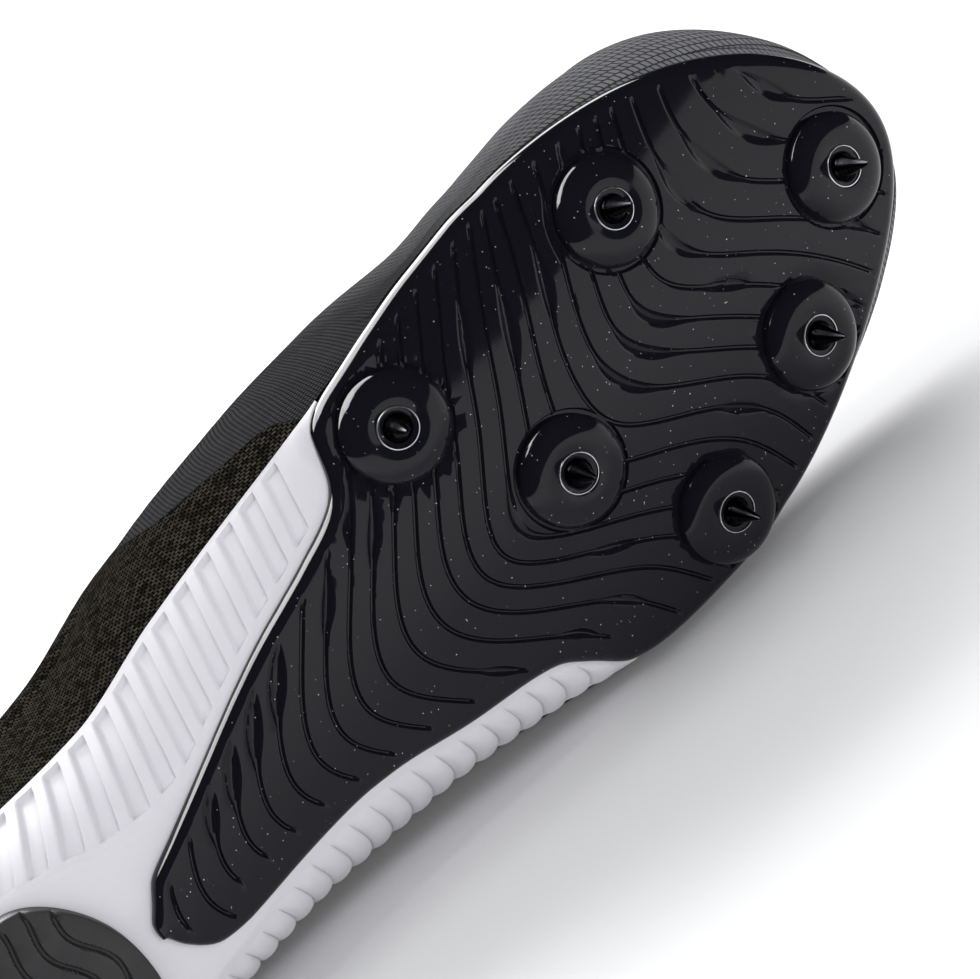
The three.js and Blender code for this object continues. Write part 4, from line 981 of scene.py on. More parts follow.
# Upper
# One knitted shell from the foam's edge to the collar and throat: black mesh outside, smooth lining inside, a
# padded collar, and over the forefoot a film that is pressed on and fades from scales into fine linen.
OVERLAY = 0.8
TOE_DEPTH = 31
INSTEP_HEIGHT = 96
HEEL_HEIGHT = 87
ANKLE_HEIGHT = 68
THROAT_FRONT = 206
THROAT_TOP = 118
THROAT_HALF = {"front": 11, "top": 19}
LAST = [
    {"x": 0.00, "bulge": 1.02, "waist": 19, "ridge": 1.20, "full": 2.2},
    {"x": 0.16, "bulge": 1.01, "waist": 19, "ridge": 1.20, "full": 2.2},
    {"x": 0.30, "bulge": 1.10, "waist": 19, "ridge": 1.12, "full": 2.1},
    {"x": 0.41, "bulge": 1.14, "waist": 20, "ridge": 1.00, "full": 2.05},
    {"x": 0.50, "bulge": 1.13, "waist": 18, "ridge": 0.885, "full": 2.0},
    {"x": 0.58, "bulge": 1.08, "waist": 15, "ridge": 0.785, "full": 1.95},
    {"x": 0.68, "bulge": 0.99, "waist": 10, "ridge": 0.68, "full": 1.95},
    {"x": 0.75, "bulge": 1.01, "waist": 10, "ridge": 0.63, "full": 2.1},
    {"x": 0.80, "bulge": 1.05, "waist": 11, "ridge": 0.60, "full": 2.3},
    {"x": 0.86, "bulge": 1.12, "waist": 11, "ridge": 0.575, "full": 2.4},
    {"x": 0.93, "bulge": 1.20, "waist": 11, "ridge": 0.55, "full": 2.5},
    {"x": 0.98, "bulge": 1.24, "waist": 11, "ridge": 0.55, "full": 2.5},
]
COLLAR = [
    {"x": 0.0, "height": 1}, {"x": 0.05, "height": 0.93},
    {"x": 0.12, "height": 0.35}, {"x": 0.2, "height": 0},
]
RIDGE_SHIFT = 4
FOOT_ANGLE = math.radians(26)
TOE_CAP = 0.80
HEEL_TUCK = 5
HEEL_REACH = 70
ANKLE = 62
STAY_CORNER = 14 / 26  # share of the way round where the collar ends and the throat begins
last_bulge, last_waist = monotone(LAST, "bulge"), monotone(LAST, "waist")
last_ridge, last_full = monotone(LAST, "ridge"), monotone(LAST, "full")
collar_share = monotone(COLLAR, "height")


def ridge_height(x):
    bite = bite_height(x)
    t = np.clip((x / LENGTH - TOE_CAP) / (1 - TOE_CAP), 0, 1)
    full = np.maximum(INSTEP_HEIGHT * last_ridge(x / LENGTH) - bite, TOE_DEPTH)
    lowered = np.minimum(full, TOE_DEPTH + (full - TOE_DEPTH) * (1 - t))
    capped_height = lowered * np.sqrt(np.maximum(1 - t**2.4, 0))
    return bite + np.where(t > 0, capped_height, full)


def last_point(x, side, reach):
    """A point of the upper's outer skin; reach runs from 0 at the bite line to 1 at the ridge."""
    x, reach = np.broadcast_arrays(np.asarray(x, float), reach)
    bite, ridge = bite_height(x), ridge_height(x)
    bulge = 1 + (last_bulge(x / LENGTH) - 1) * heel_curve(x) ** 0.5
    half = (bite_rows(x, side) - toe_shift(x)) * bulge
    waist = np.minimum(last_waist(x / LENGTH), (ridge - bite) * 0.42)
    angle = -FOOT_ANGLE + (np.pi / 2 + FOOT_ANGLE) * reach
    power = 2 / last_full(x / LENGTH)
    c, s = np.maximum(np.cos(angle), 0), np.sin(angle)
    rise = np.maximum(s, 0)
    tucked = 1 / bulge + (1 - 1 / bulge) * ((c - math.cos(FOOT_ANGLE)) / (1 - math.cos(FOOT_ANGLE)))
    y = half * np.where(s < 0, tucked, c**power)
    low = waist * (1 + s / math.sin(FOOT_ANGLE))
    z = bite + GAP + np.where(s < 0, low, waist + (ridge - bite - waist) * rise**power)
    slide = RIDGE_SHIFT * rise**2 * np.clip((0.9 * LENGTH - x) / 60, 0, 1)
    t = (z - HEEL_SIT) / (HEEL_HEIGHT - HEEL_SIT)
    lean = np.maximum(1 - x / HEEL_REACH, 0) ** 2 * (HEEL_TUCK * (1.5 * t * t - 0.9 * t) + 1.5)
    return np.stack([x + lean, y + toe_shift(x) + slide, z], -1)


def reach_where(x, side, test):
    """Reach at which the section at x first passes a test."""
    low, high = np.full(np.shape(x), 0.02), np.full(np.shape(x), 0.999)
    for _ in range(26):
        middle = (low + high) / 2
        passed = test(last_point(x, side, middle))
        low, high = np.where(passed, low, middle), np.where(passed, middle, high)
    return low


def throat_half(x):
    t = np.clip((x - THROAT_TOP) / (THROAT_FRONT - THROAT_TOP), 0, 1)
    width = THROAT_HALF["top"] + (THROAT_HALF["front"] - THROAT_HALF["top"]) * t
    return width * np.sqrt(1 - np.maximum((t - 0.88) / 0.12, 0) ** 2)


def from_ridge(x, side, distance):
    """Reach at which the skin comes within a distance of the ridge, across the shoe."""
    return reach_where(x, side, lambda p: np.abs(p[..., 1] - RIDGE_SHIFT) < distance)


def edge_reach(x, side):
    """Reach of the collar and throat edge."""
    x = np.asarray(x, float)
    top_reach = from_ridge(np.array(float(THROAT_TOP)), side, THROAT_HALF["top"])
    top = last_point(THROAT_TOP, side, top_reach)[..., 2]
    back = ANKLE_HEIGHT + (HEEL_HEIGHT - ANKLE_HEIGHT) * collar_share(x / LENGTH)
    t = np.clip((x - ANKLE) / (THROAT_TOP - ANKLE), 0, 1)
    height = back + (top - ANKLE_HEIGHT) * t**1.7
    collar = reach_where(x, side, lambda p: p[..., 2] > height)
    return np.where(x >= THROAT_TOP, from_ridge(x, side, throat_half(x)), collar)


def upper_place(side, around, up):
    """x and reach of a place: around runs from the heel to the toe, up from the bite line to the edge."""
    foot_x = 0.02 + (LENGTH - 0.32) * (0.5 - 0.5 * np.cos(np.pi * around))
    rear = 0.02 + THROAT_TOP * (1 - np.cos(np.pi / 2 * np.minimum(around / STAY_CORNER, 1)))
    ahead = np.clip((around - STAY_CORNER) / (1 - STAY_CORNER), 0, 1)
    edge_x = np.where(around <= STAY_CORNER, rear,
                      THROAT_TOP + (THROAT_FRONT - THROAT_TOP) * np.sin(np.pi / 2 * ahead))
    front, back = np.clip((around - 0.6) / 0.4, 0, 1), np.maximum(1 - around / 0.4, 0)
    x = foot_x + (edge_x - foot_x) * up ** (1 + 0.9 * front**2 + 0.3 * back)
    return x, edge_reach(edge_x, side) * up ** (1 - 0.96 * front**2.2)


def skin(x, side, reach, offset):
    """A place on the upper, moved out along its normal."""
    low_x, high_x = np.clip(x - 0.4, 0.02, LENGTH - 1), np.clip(x + 0.4, 0.6, LENGTH - 0.15)
    low_r, high_r = np.maximum(reach - 0.01, 0), np.minimum(reach + 0.01, 1)
    along_x = last_point(high_x, side, reach) - last_point(low_x, side, reach)
    along_r = last_point(x, side, high_r) - last_point(x, side, low_r)
    normal = np.cross(along_x, along_r) * -side
    normal /= np.maximum(np.linalg.norm(normal, axis=-1), 1e-9)[..., None]
    return last_point(x, side, reach) + normal * np.asarray(offset)[..., None], normal


def ring_grid(around, ups, offset, sides=(LATERAL, MEDIAL)):
    """Points of the upper over a range of around and up; offset is a function of both."""
    halves = []
    for side in sides:
        a, u = np.meshgrid(around if side == sides[0] else around[::-1], ups, indexing="ij")
        x, reach = upper_place(side, a, u)
        points, normal = skin(x, side, reach, offset(a, u))
        halves.append((points, normal, np.stack([a, u, np.full(a.shape, side)], -1)))
    return halves


def run_lengths(grid, axis):
    step = np.linalg.norm(np.diff(grid, axis=axis), axis=2)
    return np.insert(np.cumsum(step, axis=axis), 0, 0, axis=axis)


def shell_faces(rows, columns, closed):
    """Faces of a grid; a closed one joins its last row to its first."""
    faces = []
    for i in range(rows if closed else rows - 1):
        for j in range(columns - 1):
            k = (i + 1) % rows
            faces.append([i * columns + j, k * columns + j, k * columns + j + 1, i * columns + j + 1])
    return faces


FILM_BORDER = [  # x of the film's rear border at a share of the height
    {"x": 0.0, "border": 152},
    {"x": 0.1, "border": 147},
    {"x": 0.22, "border": 133},
    {"x": 0.4, "border": 118},
    {"x": 0.65, "border": 109},
    {"x": 0.9, "border": 105},
]
film_border = monotone(FILM_BORDER, "border")


def with_cloth(piece, cloth, ahead=None):
    """Keeps each point's place on the cloth, and its distance ahead of the film's border, in millimetres."""
    corner = np.zeros(len(piece.data.loops), int)
    piece.data.loops.foreach_get("vertex_index", corner)
    ahead = np.full(len(cloth), 90.0) if ahead is None else ahead
    maps = {"cloth": np.asarray(cloth, float)[:, :2], "film_edge": np.stack([ahead, ahead], 1)}
    for name, values in maps.items():
        piece.data.uv_layers.new(name=name).data.foreach_set("uv", values[corner].ravel())
    return piece


COLLAR_PAD = 1.6
COLLAR_BAND = 0.2  # share of the height that the padding takes
UPPER_AROUND = 0.5 - 0.5 * np.cos(np.linspace(0, np.pi, 150))
UPPER_UPS = np.concatenate([np.linspace(0, 0.04, 5)[:-1], np.linspace(0.04, 0.74, 34)[:-1],
                            np.linspace(0.74, 1, 22)])


def collar_puff(around, up):
    """How far the padding lifts the cloth: a roll below the topline that ends at the eyestay."""
    t = np.clip((up - (1 - COLLAR_BAND)) / COLLAR_BAND, 0, 1)
    fade = 1 - soft_step((around - 0.40) / 0.12)
    return COLLAR_PAD * np.sin(np.pi * t**0.8) ** 0.7 * fade


def upper_mesh():
    """Outer skin, rolled edge and inner skin, as one closed shell, with each point's place on the cloth."""
    around, ups = UPPER_AROUND, UPPER_UPS
    outer = ring_grid(around, ups, collar_puff)
    inner = ring_grid(around, ups, lambda a, u: -WALL - 1.3 * collar_puff(a, u))
    joined = []
    for skins in (outer, inner):
        first, second = skins
        joined.append([np.vstack([a, b[1:-1]]) for a, b in zip(first, second)])
    (out, normal, place), (into, _, _) = joined
    middle = (out[:, -1] + into[:, -1]) / 2
    radius = np.linalg.norm(out[:, -1] - into[:, -1], axis=1)[:, None] / 2
    rise = out[:, -1] - out[:, -3]
    rise /= np.linalg.norm(rise, axis=1)[:, None]
    face = (out[:, -1] - into[:, -1]) / (2 * radius)
    roll = [middle + radius * (math.cos(a) * face + math.sin(a) * rise)
            for a in np.radians((30, 60, 90, 120, 150))]
    strip = np.concatenate([out, np.stack(roll, 1), into[:, ::-1]], axis=1)
    rows, columns = strip.shape[:2]
    faces = shell_faces(rows, columns, closed=True)
    faces += [[i * columns, i * columns + columns - 1, ((i + 1) % rows) * columns + columns - 1,
               ((i + 1) % rows) * columns]
              for i in range(rows)]
    across = run_lengths(np.vstack([out, out[:1]]), 0)[:rows, 9:10] + 0 * strip[:, :, 0]
    along = run_lengths(strip, 1)
    share = np.concatenate([place[:, :, 1], *[place[:, -1:, 1]] * (columns - len(ups))], 1)
    cloth = np.stack([across, along, share], -1)
    outside = len(ups) + 2
    lining_from = [sum(v % columns > outside for v in face) >= 2 for face in faces]
    return strip.reshape(-1, 3), faces, cloth.reshape(-1, 3), lining_from


def place_of(tree):
    """The cloth's own coordinates in millimetres, along and up."""
    return wire(tree, "UVMap", {}, uv_map="cloth").outputs["UV"]


def effect_group(name, inputs, outputs):
    """An effect that several materials share: a node group whose sockets have names."""
    group = bpy.data.node_groups.new(name, "ShaderNodeTree")
    for label, kind in inputs.items():
        group.interface.new_socket(label, in_out="INPUT", socket_type="NodeSocket" + kind)
    for label, kind in outputs.items():
        group.interface.new_socket(label, in_out="OUTPUT", socket_type="NodeSocket" + kind)
    return group, group.nodes.new("NodeGroupInput").outputs, group.nodes.new("NodeGroupOutput").inputs


def raised_cells():
    """Staggered raised cells: Shade differs from cell to cell, and Between is 1 in the seams round them."""
    group, given, made = effect_group(
        "raised_cells",
        {"Place": "Vector", "Turn": "Float", "Width": "Float", "Height": "Float", "Seam": "Float",
         "Softness": "Float"},
        {"Shade": "Color", "Between": "Float", "Raised": "Float"})
    turn = wire(group, "CombineXYZ", {"Z": given["Turn"]})
    moved = wire(group, "Mapping", {"Vector": given["Place"], "Rotation": turn.outputs["Vector"]})
    cells = wire(group, "TexBrick", {
        "Vector": moved.outputs["Vector"], "Scale": 1.0, "Brick Width": given["Width"],
        "Row Height": given["Height"], "Mortar Size": given["Seam"], "Mortar Smooth": given["Softness"],
        "Color1": (0, 0, 0, 1), "Color2": (1, 1, 1, 1)}, offset=0.5)
    raised = wire(group, "Math", {0: 1.0, 1: cells.outputs["Fac"]}, operation="SUBTRACT")
    group.links.new(cells.outputs["Color"], made["Shade"])
    group.links.new(cells.outputs["Fac"], made["Between"])
    group.links.new(raised.outputs[0], made["Raised"])
    return group


CELLS = raised_cells()
STITCH = {"Width": 1.3, "Height": 1.15, "Seam": 0.2, "Softness": 0.8, "Turn": math.radians(28)}
SCALE = {"Width": 1.6, "Height": 2.2, "Seam": 0.24, "Softness": 0.9}
LINEN = {"Width": 0.9, "Height": 1.0, "Seam": 0.15, "Softness": 0.9}
LOOP = {"Width": 0.8, "Height": 0.5, "Seam": 0.1, "Softness": 1.0}
THREAD_DARK = (0.010, 0.009, 0.007, 1)
# Lighter thread colour: a painted highlight, given at random to whole stitches.
THREAD_PAINTED_HIGHLIGHT = (0.066, 0.058, 0.047, 1)
HOLE_BLACK = (0.0015, 0.0015, 0.0015, 1)
FILM_DARK = (0.052, 0.052, 0.055, 1)
FILM_LIGHT = (0.086, 0.086, 0.090, 1)
FILM_SEAM = (0.006, 0.006, 0.007, 1)


def cells_of(tree, place, sizes):
    return wire(tree, "Group", {"Place": place, **sizes}, node_tree=CELLS).outputs


def blended(tree, share, first, second):
    """A colour or value that goes from the first to the second."""
    return wire(tree, "MixRGB", {"Fac": share, "Color1": first, "Color2": second}).outputs["Color"]


def knit_layer(tree):
    """The black knit: rows of slanting stitches, each stitch a random tone from the dark thread to a painted
    thread highlight. Gives colour and height.
    """
    stitch = cells_of(tree, place_of(tree), STITCH)
    thread = blended(tree, stitch["Shade"], THREAD_DARK, THREAD_PAINTED_HIGHLIGHT)
    return blended(tree, stitch["Between"], thread, HOLE_BLACK), stitch["Raised"]


def pressed_film():
    """The film: pillowy scales at the toe that melt into linen towards its border, with painted light that
    makes its colour brighter towards the toe.
    """
    group, given, made = effect_group(
        "pressed_film", {"Place": "Vector", "Ahead": "Float"}, {"Colour": "Color", "Height": "Float"})
    scales = cells_of(group, given["Place"], SCALE)
    linen = cells_of(group, given["Place"], LINEN)
    pick = wire(group, "MapRange", {"Value": given["Ahead"], "From Min": 42.0, "From Max": 24.0})
    between = blended(group, pick.outputs["Result"], scales["Between"], linen["Between"])
    tone = wire(group, "TexNoise", {"Vector": given["Place"], "Scale": 0.25, "Detail": 4.0})
    base = blended(group, tone.outputs["Fac"], FILM_DARK, FILM_LIGHT)
    # Painted light: the film's colour is scaled up towards the toe, from 0.9 to 2.8 times, to make the toe
    # look more brightly lit.
    toe = wire(group, "MapRange", {
        "Value": given["Ahead"], "From Min": 30.0, "From Max": 78.0, "To Min": 0.9, "To Max": 2.8})
    lit = wire(group, "VectorMath", {0: base, "Scale": toe.outputs["Result"]}, operation="SCALE")
    seam = wire(group, "Math", {0: between, 1: 0.75}, operation="MULTIPLY")
    raised = wire(group, "Math", {0: 1.0, 1: between}, operation="SUBTRACT")
    group.links.new(blended(group, seam.outputs[0], lit.outputs[0], FILM_SEAM), made["Colour"])
    group.links.new(raised.outputs[0], made["Height"])
    return group


FILM = pressed_film()


def ahead_of(tree):
    """How far ahead of the film's border a point lies, in millimetres."""
    return wire(tree, "SeparateXYZ", {
        "Vector": wire(tree, "UVMap", {}, uv_map="film_edge").outputs["UV"]}).outputs["X"]


def film_layer(tree):
    pressed = wire(tree, "Group", {"Place": place_of(tree), "Ahead": ahead_of(tree)}, node_tree=FILM)
    return pressed.outputs["Colour"], pressed.outputs["Height"]


def dressed_layer(tree):
    """The knit with the film pressed over it, ahead of the film's border."""
    covered = wire(tree, "MapRange", {"Value": ahead_of(tree), "From Min": -0.2, "From Max": 0.2}).outputs[0]
    knit_colour, knit_height = knit_layer(tree)
    film_colour, film_height = film_layer(tree)
    raised = wire(tree, "Math", {0: film_height, 1: 1.0}, operation="ADD").outputs[0]
    return blended(tree, covered, knit_colour, film_colour), blended(tree, covered, knit_height, raised)


def cloth_finish(name, layer, roughness, distance, strength=1.0, **more):
    material, tree, shader = finish_of(name, (0.03, 0.03, 0.03), roughness, **more)
    colour, height = layer(tree)
    tree.links.new(colour, shader.inputs["Base Color"])
    bump = wire(tree, "Bump", {"Height": height, "Strength": strength, "Distance": distance})
    tree.links.new(bump.outputs["Normal"], shader.inputs["Normal"])
    return material


def lining_layer(tree):
    loops = cells_of(tree, place_of(tree), LOOP)
    return blended(tree, loops["Between"], (0.035, 0.035, 0.037, 1), (0.012, 0.012, 0.013,
                                                                      1)), loops["Raised"]


knit = cloth_finish("knit_and_film", dressed_layer, 0.9, 0.0006, Specular_IOR_Level=0.0)
film = cloth_finish("embossed_film", film_layer, 0.85, 0.0006, Specular_IOR_Level=0.0)
lining = cloth_finish("knit_lining", lining_layer, 0.85, 0.0002, Specular_IOR_Level=0.15)
upper_points, upper_faces, upper_cloth, upper_lining = upper_mesh()
upper_ahead = 0.8 * (upper_points[:, 0] - film_border(upper_cloth[:, 2]))
upper = with_cloth(piece_of("knit_upper", upper_points, upper_faces, knit, ["upper"]), upper_cloth,
                   upper_ahead)
upper.data.materials.append(lining)
upper.data.polygons.foreach_set("material_index", np.array(upper_lining, int))

# Films and stiffeners
# Thin sheets bonded onto the upper: the scaled film round the toe, a smooth stiffener round the heel, and the
# eyestay round the throat. Their edges are pressed down and rounded.
RAND_FROM = 15 / 26
COUNTER_TO = 7 / 26
RAND_HEIGHT = 17
COUNTER_HEIGHT = 0.7
STAY_WIDTH = 12
GIRTH = {"waist": 74, "toe": 68}
OVERLAY_GAP = 0.15


def girth_at(around):
    rise = np.clip((around - RAND_FROM) / (1 - RAND_FROM), 0, 1)
    return GIRTH["waist"] + (GIRTH["toe"] - GIRTH["waist"]) * rise


def rand_top(around):
    rise = np.clip((around - RAND_FROM) / (1 - RAND_FROM), 0, 1)
    return (0.42 + 0.58 * np.minimum(rise * 1.8, 1)) * (RAND_HEIGHT / girth_at(around))


def counter_top(around):
    return np.maximum(COUNTER_HEIGHT * np.sqrt(1 - np.minimum(around / (COUNTER_TO * 1.03), 1) ** 2), 0.08)


def stay_foot(around):
    return np.where(around >= 0.4, 1 - STAY_WIDTH / girth_at(around), 0.88)


def overlay_mesh(around, low, high, thickness, columns, mirrored):
    """A bonded sheet between two heights. around runs along one side; the sheet continues on the other."""
    share = 0.5 - 0.5 * np.cos(np.linspace(0, np.pi, columns))
    edge = np.minimum(share, 1 - share)
    halves = []
    for side, marks in ((LATERAL, around), (MEDIAL, around[::-1])):
        a, s = np.meshgrid(marks, share, indexing="ij")
        up = low(a) + (high(a) - low(a)) * s
        x, reach = upper_place(side, a, up)
        ends = np.clip(np.abs(a - mirrored) / 0.012, 0, 1)
        lift = OVERLAY_GAP + thickness * np.sqrt(np.clip(edge / 0.06, 0, 1)) * ends**0.5
        outer, _ = skin(x, side, reach, lift + collar_puff(a, up))
        inner, _ = skin(x, side, reach, np.full(a.shape, 0.05) + collar_puff(a, up))
        halves.append((outer, inner))
    outer, inner = (np.vstack([halves[0][i], halves[1][i][1:]]) for i in (0, 1))
    rows, count = outer.shape[:2]
    total = rows * count
    faces = shell_faces(rows, count, closed=False)
    faces += [[v + total for v in reversed(face)] for face in faces]
    rim = [i * count for i in range(rows)] + [(rows - 1) * count + j for j in range(1, count)]
    rim += [i * count + count - 1 for i in range(rows - 2, -1, -1)] + [j for j in range(count - 2, 0, -1)]
    faces += [[rim[i], rim[i] + total, rim[(i + 1) % len(rim)] + total, rim[(i + 1) % len(rim)]]
              for i in range(len(rim))]
    across = run_lengths(outer, 0)[:, count // 3:count // 3 + 1] + 0 * outer[:, :, 0]
    along = run_lengths(outer, 1)
    cloth = np.stack([across, along, 0 * along], -1).reshape(-1, 3)
    return np.vstack([outer.reshape(-1, 3), inner.reshape(-1, 3)]), faces, np.vstack([cloth, cloth])


def overlay(name, node, around, low, high, thickness, columns, mirrored, finish):
    points, faces, cloth = overlay_mesh(around, low, high, thickness, columns, mirrored)
    return with_cloth(piece_of(name, points, faces, finish, [node]), cloth, 0.8 * (points[:,
            0] - 150))


toe_film = overlay("toe_film", "toe_rand", np.linspace(RAND_FROM, 1, 130), lambda a: 0.01 + 0 * a, rand_top,
                   0.35, 30, RAND_FROM, film)
heel_counter = overlay("heel_stiffener", "heel_counter", np.linspace(COUNTER_TO, 0, 60),
                       lambda a: 0.015 + 0 * a,
                       counter_top, 0.7, 40, COUNTER_TO, film)
eyestay = overlay("eyelet_facing", "eyestay", np.linspace(STAY_CORNER, 1, 90), stay_foot,
                  lambda a: 0.995 + 0 * a,
                  0.6, 16, STAY_CORNER, film)

# Tongue
# A padded knit tongue under the laces, wider at the top, with stitched channels across it.
TONGUE = {"top": 96, "end": 216, "half": 27, "thick": 3.6, "taper_from": 150, "taper": 0.25, "clear": 1.6}
TONGUE_CHANNEL = 13


def tongue_mesh():
    x = np.linspace(TONGUE["top"], TONGUE["end"], 110)
    t = np.maximum((x - TONGUE["taper_from"]) / (TONGUE["end"] - TONGUE["taper_from"]), 0)
    half = TONGUE["half"] * (1 - TONGUE["taper"] * t)
    corner = np.clip((x - TONGUE["top"]) / 10, 0, 1)
    half = half * (0.72 + 0.28 * np.sqrt(1 - (1 - corner) ** 2))
    share = np.sin(np.linspace(-np.pi / 2, np.pi / 2, 41))
    grids = {"outer": [], "inner": []}
    for way, line in grids.items():
        for s in share:
            side = LATERAL if s < 0 else MEDIAL
            reach = np.minimum(from_ridge(x, side, np.maximum(np.abs(s) * half, 0.4)), 0.999)
            edge = np.sqrt(np.clip(1 - np.abs(s) ** 8, 0, 1)) * np.sqrt(np.clip((x - x[0]) / 4, 0.02, 1))
            channel = 1 - 0.45 * np.exp(-((np.mod(x, TONGUE_CHANNEL) - TONGUE_CHANNEL / 2) / 1.1) ** 2)
            middle = -WALL - TONGUE["clear"] - TONGUE["thick"] / 2
            swell = TONGUE["thick"] / 2 * edge * (channel if way == "outer" else 1)
            points, _ = skin(x, side, reach, middle + (swell if way == "outer" else -swell))
            line.append(points)
    outer, inner = (np.stack(grids[way], 1) for way in ("outer", "inner"))
    rows, columns = outer.shape[:2]
    strip = np.concatenate([outer, inner[:, ::-1][:, 1:-1]], axis=1)
    count = strip.shape[1]
    faces = [[i * count + j, (i + 1) * count + j, (i + 1) * count + (j + 1) % count,
              i * count + (j + 1) % count]
             for i in range(rows - 1) for j in range(count)]
    faces += [list(range(count)), list(range((rows - 1) * count, rows * count))]
    cloth = np.stack([run_lengths(strip, 0), run_lengths(strip, 1), 0 * strip[:, :, 0]], -1)
    return strip.reshape(-1, 3), faces, cloth.reshape(-1, 3)


tongue_points, tongue_faces, tongue_cloth = tongue_mesh()
tongue = with_cloth(piece_of("padded_tongue", tongue_points, tongue_faces, lining, ["tongue"]),
                    tongue_cloth)

# Insole
# A thin foam sockliner covered in knit, which follows the foam from the raised heel down to the ball.
INSOLE_THICK = 3.5
INSOLE_INSET = 2.2
INSOLE_END = 6
INSOLE_ROUND = 8.5
FOAM_FOREFOOT = 3


def bed_height(x, y):
    x = np.asarray(x, float)
    raised = np.where(x < SPRING["start"], bite_height(x), 0)
    thin = ground(x, 0) + FOAM_SEAT + FOAM_FOREFOOT
    bow = np.where(x < SPRING["start"], 0, np.asarray(y) ** 2 / (2 * CROWN_RADIUS))
    return np.maximum(raised, thin) + 1.5 * np.exp(-np.abs(raised - thin) / 2.5) + 3 * GAP + bow


def insole_edge(x, side):
    t = np.clip((x - INSOLE_END) / INSOLE_ROUND, 0, 1)
    return (bite_rows(x, side) - side * (WALL + INSOLE_INSET)) * np.sqrt(1 - (1 - t) ** 2)


insole_loop = plan_loop(insole_edge, INSOLE_END, FOAM_TOE - INSOLE_END, 200)
insole_points, insole_faces = slab(insole_loop, bed_height, lambda x, y: bed_height(x, y) + INSOLE_THICK,
                                   0.6, 1.2)
insole = piece_of("sockliner", insole_points, insole_faces, lining, ["insole"])
with_cloth(insole, insole_points * [1, 1, 0])

# Lace
# A flat woven lace that crosses between six pairs of eyelets, dips through each hole and stops inside at
# the top.
EYELET_PAIRS = 6
EYELET_RADIUS = 2
EYELET_INSET = 5.5
FIRST_EYELET = 7
LAST_EYELET = 15
LACE_WIDTH = 5
LACE_THICK = 1.5
LACE_LIFT = 1.1


def eyelet_spots():
    marks = np.linspace(THROAT_TOP + FIRST_EYELET, THROAT_FRONT - LAST_EYELET, EYELET_PAIRS)
    spots = []
    for x in marks:
        for side in (LATERAL, MEDIAL):
            reach = from_ridge(np.array(x), side, throat_half(x) + EYELET_INSET)
            spots.append({"x": x, "side": side, "reach": reach})
    return spots


def over_skin(x, y, offset):
    """The place on the upper's skin above a point in plan, near the ridge."""
    side = MEDIAL if y > RIDGE_SHIFT else LATERAL
    reach = min(float(from_ridge(np.array(x), side, max(abs(y - RIDGE_SHIFT), 0.3))), 0.985)
    point, normal = skin(np.array(x), side, np.array(reach), np.array(offset))
    return point, normal


def lace_strand(first, second, lift):
    """Centre line, outward normals and widths of one crossing, from hole to hole."""
    ends = []
    for spot in (first, second):
        seat = skin(np.array(spot["x"]), spot["side"], spot["reach"], np.array(0.0))[0]
        ends.append(over_skin(spot["x"], float(seat[1]), 0.0)[0])
    line, up, wide = [], [], []
    for t in np.linspace(0, 1, 25):
        y = ends[0][1] + (ends[1][1] - ends[0][1]) * t
        x = first["x"] + (second["x"] - first["x"]) * t
        near = min(t, 1 - t)
        dip = 5.0 * max(1 - near / 0.07, 0) ** 1.5
        point, normal = over_skin(x, y, OVERLAY + LACE_LIFT + lift * math.sin(math.pi * t) - dip)
        line.append(point)
        up.append(normal)
        wide.append(0.5 + 0.5 * min(near / 0.12, 1))
    return np.array(line), np.array(up), np.array(wide)


def ribbon(line, up, wide, section):
    """A flat strap along a line: a rounded section turned to face outward."""
    along = np.gradient(line, axis=0)
    along /= np.linalg.norm(along, axis=1)[:, None]
    across = np.cross(along, up)
    across /= np.linalg.norm(across, axis=1)[:, None]
    out = np.cross(across, along)
    rings = np.array([p + w * a[None] * section[:, :1] * LACE_WIDTH / 2 + o[None] * section[:,
            1:] * LACE_THICK / 2 / w
                      for p, a, o, w in zip(line, across, out, wide)])
    rows, count = rings.shape[:2]
    faces = [[i * count + j, (i + 1) * count + j, (i + 1) * count + (j + 1) % count,
              i * count + (j + 1) % count]
             for i in range(rows - 1) for j in range(count)]
    faces += [list(range(count)), list(range((rows - 1) * count, rows * count))]
    length = np.concatenate([[0], np.cumsum(np.linalg.norm(np.diff(line, axis=0), axis=1))])
    cloth = np.stack([length[:, None] + 0 * rings[:, :, 0], section[None, :,
                                                                    0] * LACE_WIDTH / 2 + 0 * rings[:, :,
                                                                            0], 0 * rings[:, :, 0]], -1)
    return rings.reshape(-1, 3), faces, cloth.reshape(-1, 3)


WEAVE = {"Width": 0.9, "Height": 0.55, "Seam": 0.09, "Softness": 1.0, "Turn": math.radians(45)}


def lace_layer(tree):
    weave = cells_of(tree, place_of(tree), WEAVE)
    return blended(tree, weave["Between"], (0.022, 0.022, 0.024, 1), (0.006, 0.006, 0.006,
                                                                      1)), weave["Raised"]


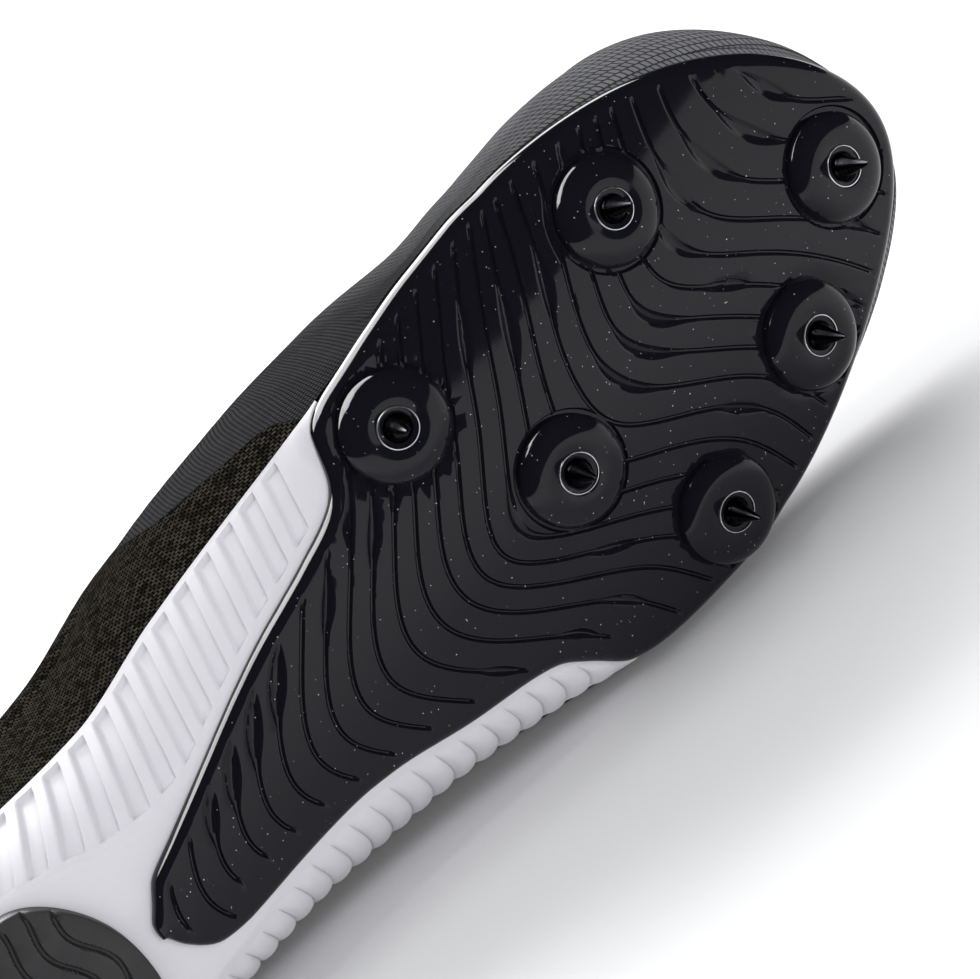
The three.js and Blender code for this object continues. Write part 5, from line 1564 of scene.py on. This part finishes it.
def lace_mesh():
    angle = np.linspace(0, 2 * np.pi, 17)[:-1]
    section = np.stack([np.sign(np.cos(angle)) * np.abs(np.cos(angle)) ** 0.35,
                        np.sign(np.sin(angle)) * np.abs(np.sin(angle)) ** 0.6], 1)
    spots = eyelet_spots()
    pairs = [(spots[-2], spots[-1], 0.4)]
    for i in range(0, len(spots) - 3, 2):
        pairs += [(spots[i], spots[i + 3], 0.2), (spots[i + 1], spots[i + 2], 1.9)]
    points, faces, cloth = [], [], []
    for first, second, lift in pairs:
        strand, strand_faces, strand_cloth = ribbon(*lace_strand(first, second, lift), section)
        start = sum(len(p) for p in points)
        faces += [[v + start for v in face] for face in strand_faces]
        points.append(strand)
        cloth.append(strand_cloth)
    return np.vstack(points), faces, np.vstack(cloth)


lace_points, lace_faces, lace_cloth = lace_mesh()
lace_weave = cloth_finish("lace_weave", lace_layer, 0.7, 0.0003, Specular_IOR_Level=0.2)
lace = with_cloth(piece_of("flat_lace", lace_points, lace_faces, lace_weave, ["lace"]), lace_cloth)

# Eyelet holes
# Each is punched through the facing and the upper.
def hole_cutter():
    points, faces = [], []
    for spot in eyelet_spots():
        x = np.array(spot["x"])
        centre, normal = skin(x, spot["side"], spot["reach"], np.array(0.0))
        side_way = np.cross(normal, [1, 0, 0])
        side_way /= np.linalg.norm(side_way)
        front_way = np.cross(normal, side_way)
        angle = np.linspace(0, 2 * np.pi, 25)[:-1]
        ring = EYELET_RADIUS * (np.cos(angle)[:, None] * side_way + np.sin(angle)[:, None] * front_way)
        start, count = len(points), len(angle)
        points += [*(centre + ring + 4 * normal), *(centre + ring - 6 * normal)]
        faces += [[start + i, start + (i + 1) % count, start + count + (i + 1) % count, start + count + i]
                  for i in range(count)]
        faces += [[start + i for i in range(count)], [start + count + i for i in range(count)][::-1]]
    return np.array(points), faces


cutter_points, cutter_faces = hole_cutter()
cutter_mesh = bpy.data.meshes.new("punches")
cutter_mesh.from_pydata(lay(cutter_points).tolist(), [], cutter_faces)
cutter = bpy.data.objects.new("punches", cutter_mesh)
bpy.context.scene.collection.objects.link(cutter)
for piece in (upper, eyestay):
    bpy.ops.object.select_all(action="DESELECT")
    bpy.context.view_layer.objects.active = piece
    piece.select_set(True)
    cut = piece.modifiers.new("punch", "BOOLEAN")
    cut.operation = "DIFFERENCE"
    cut.solver = "EXACT"
    cut.object = cutter
    bpy.ops.object.modifier_apply(modifier="punch")
bpy.data.objects.remove(cutter)
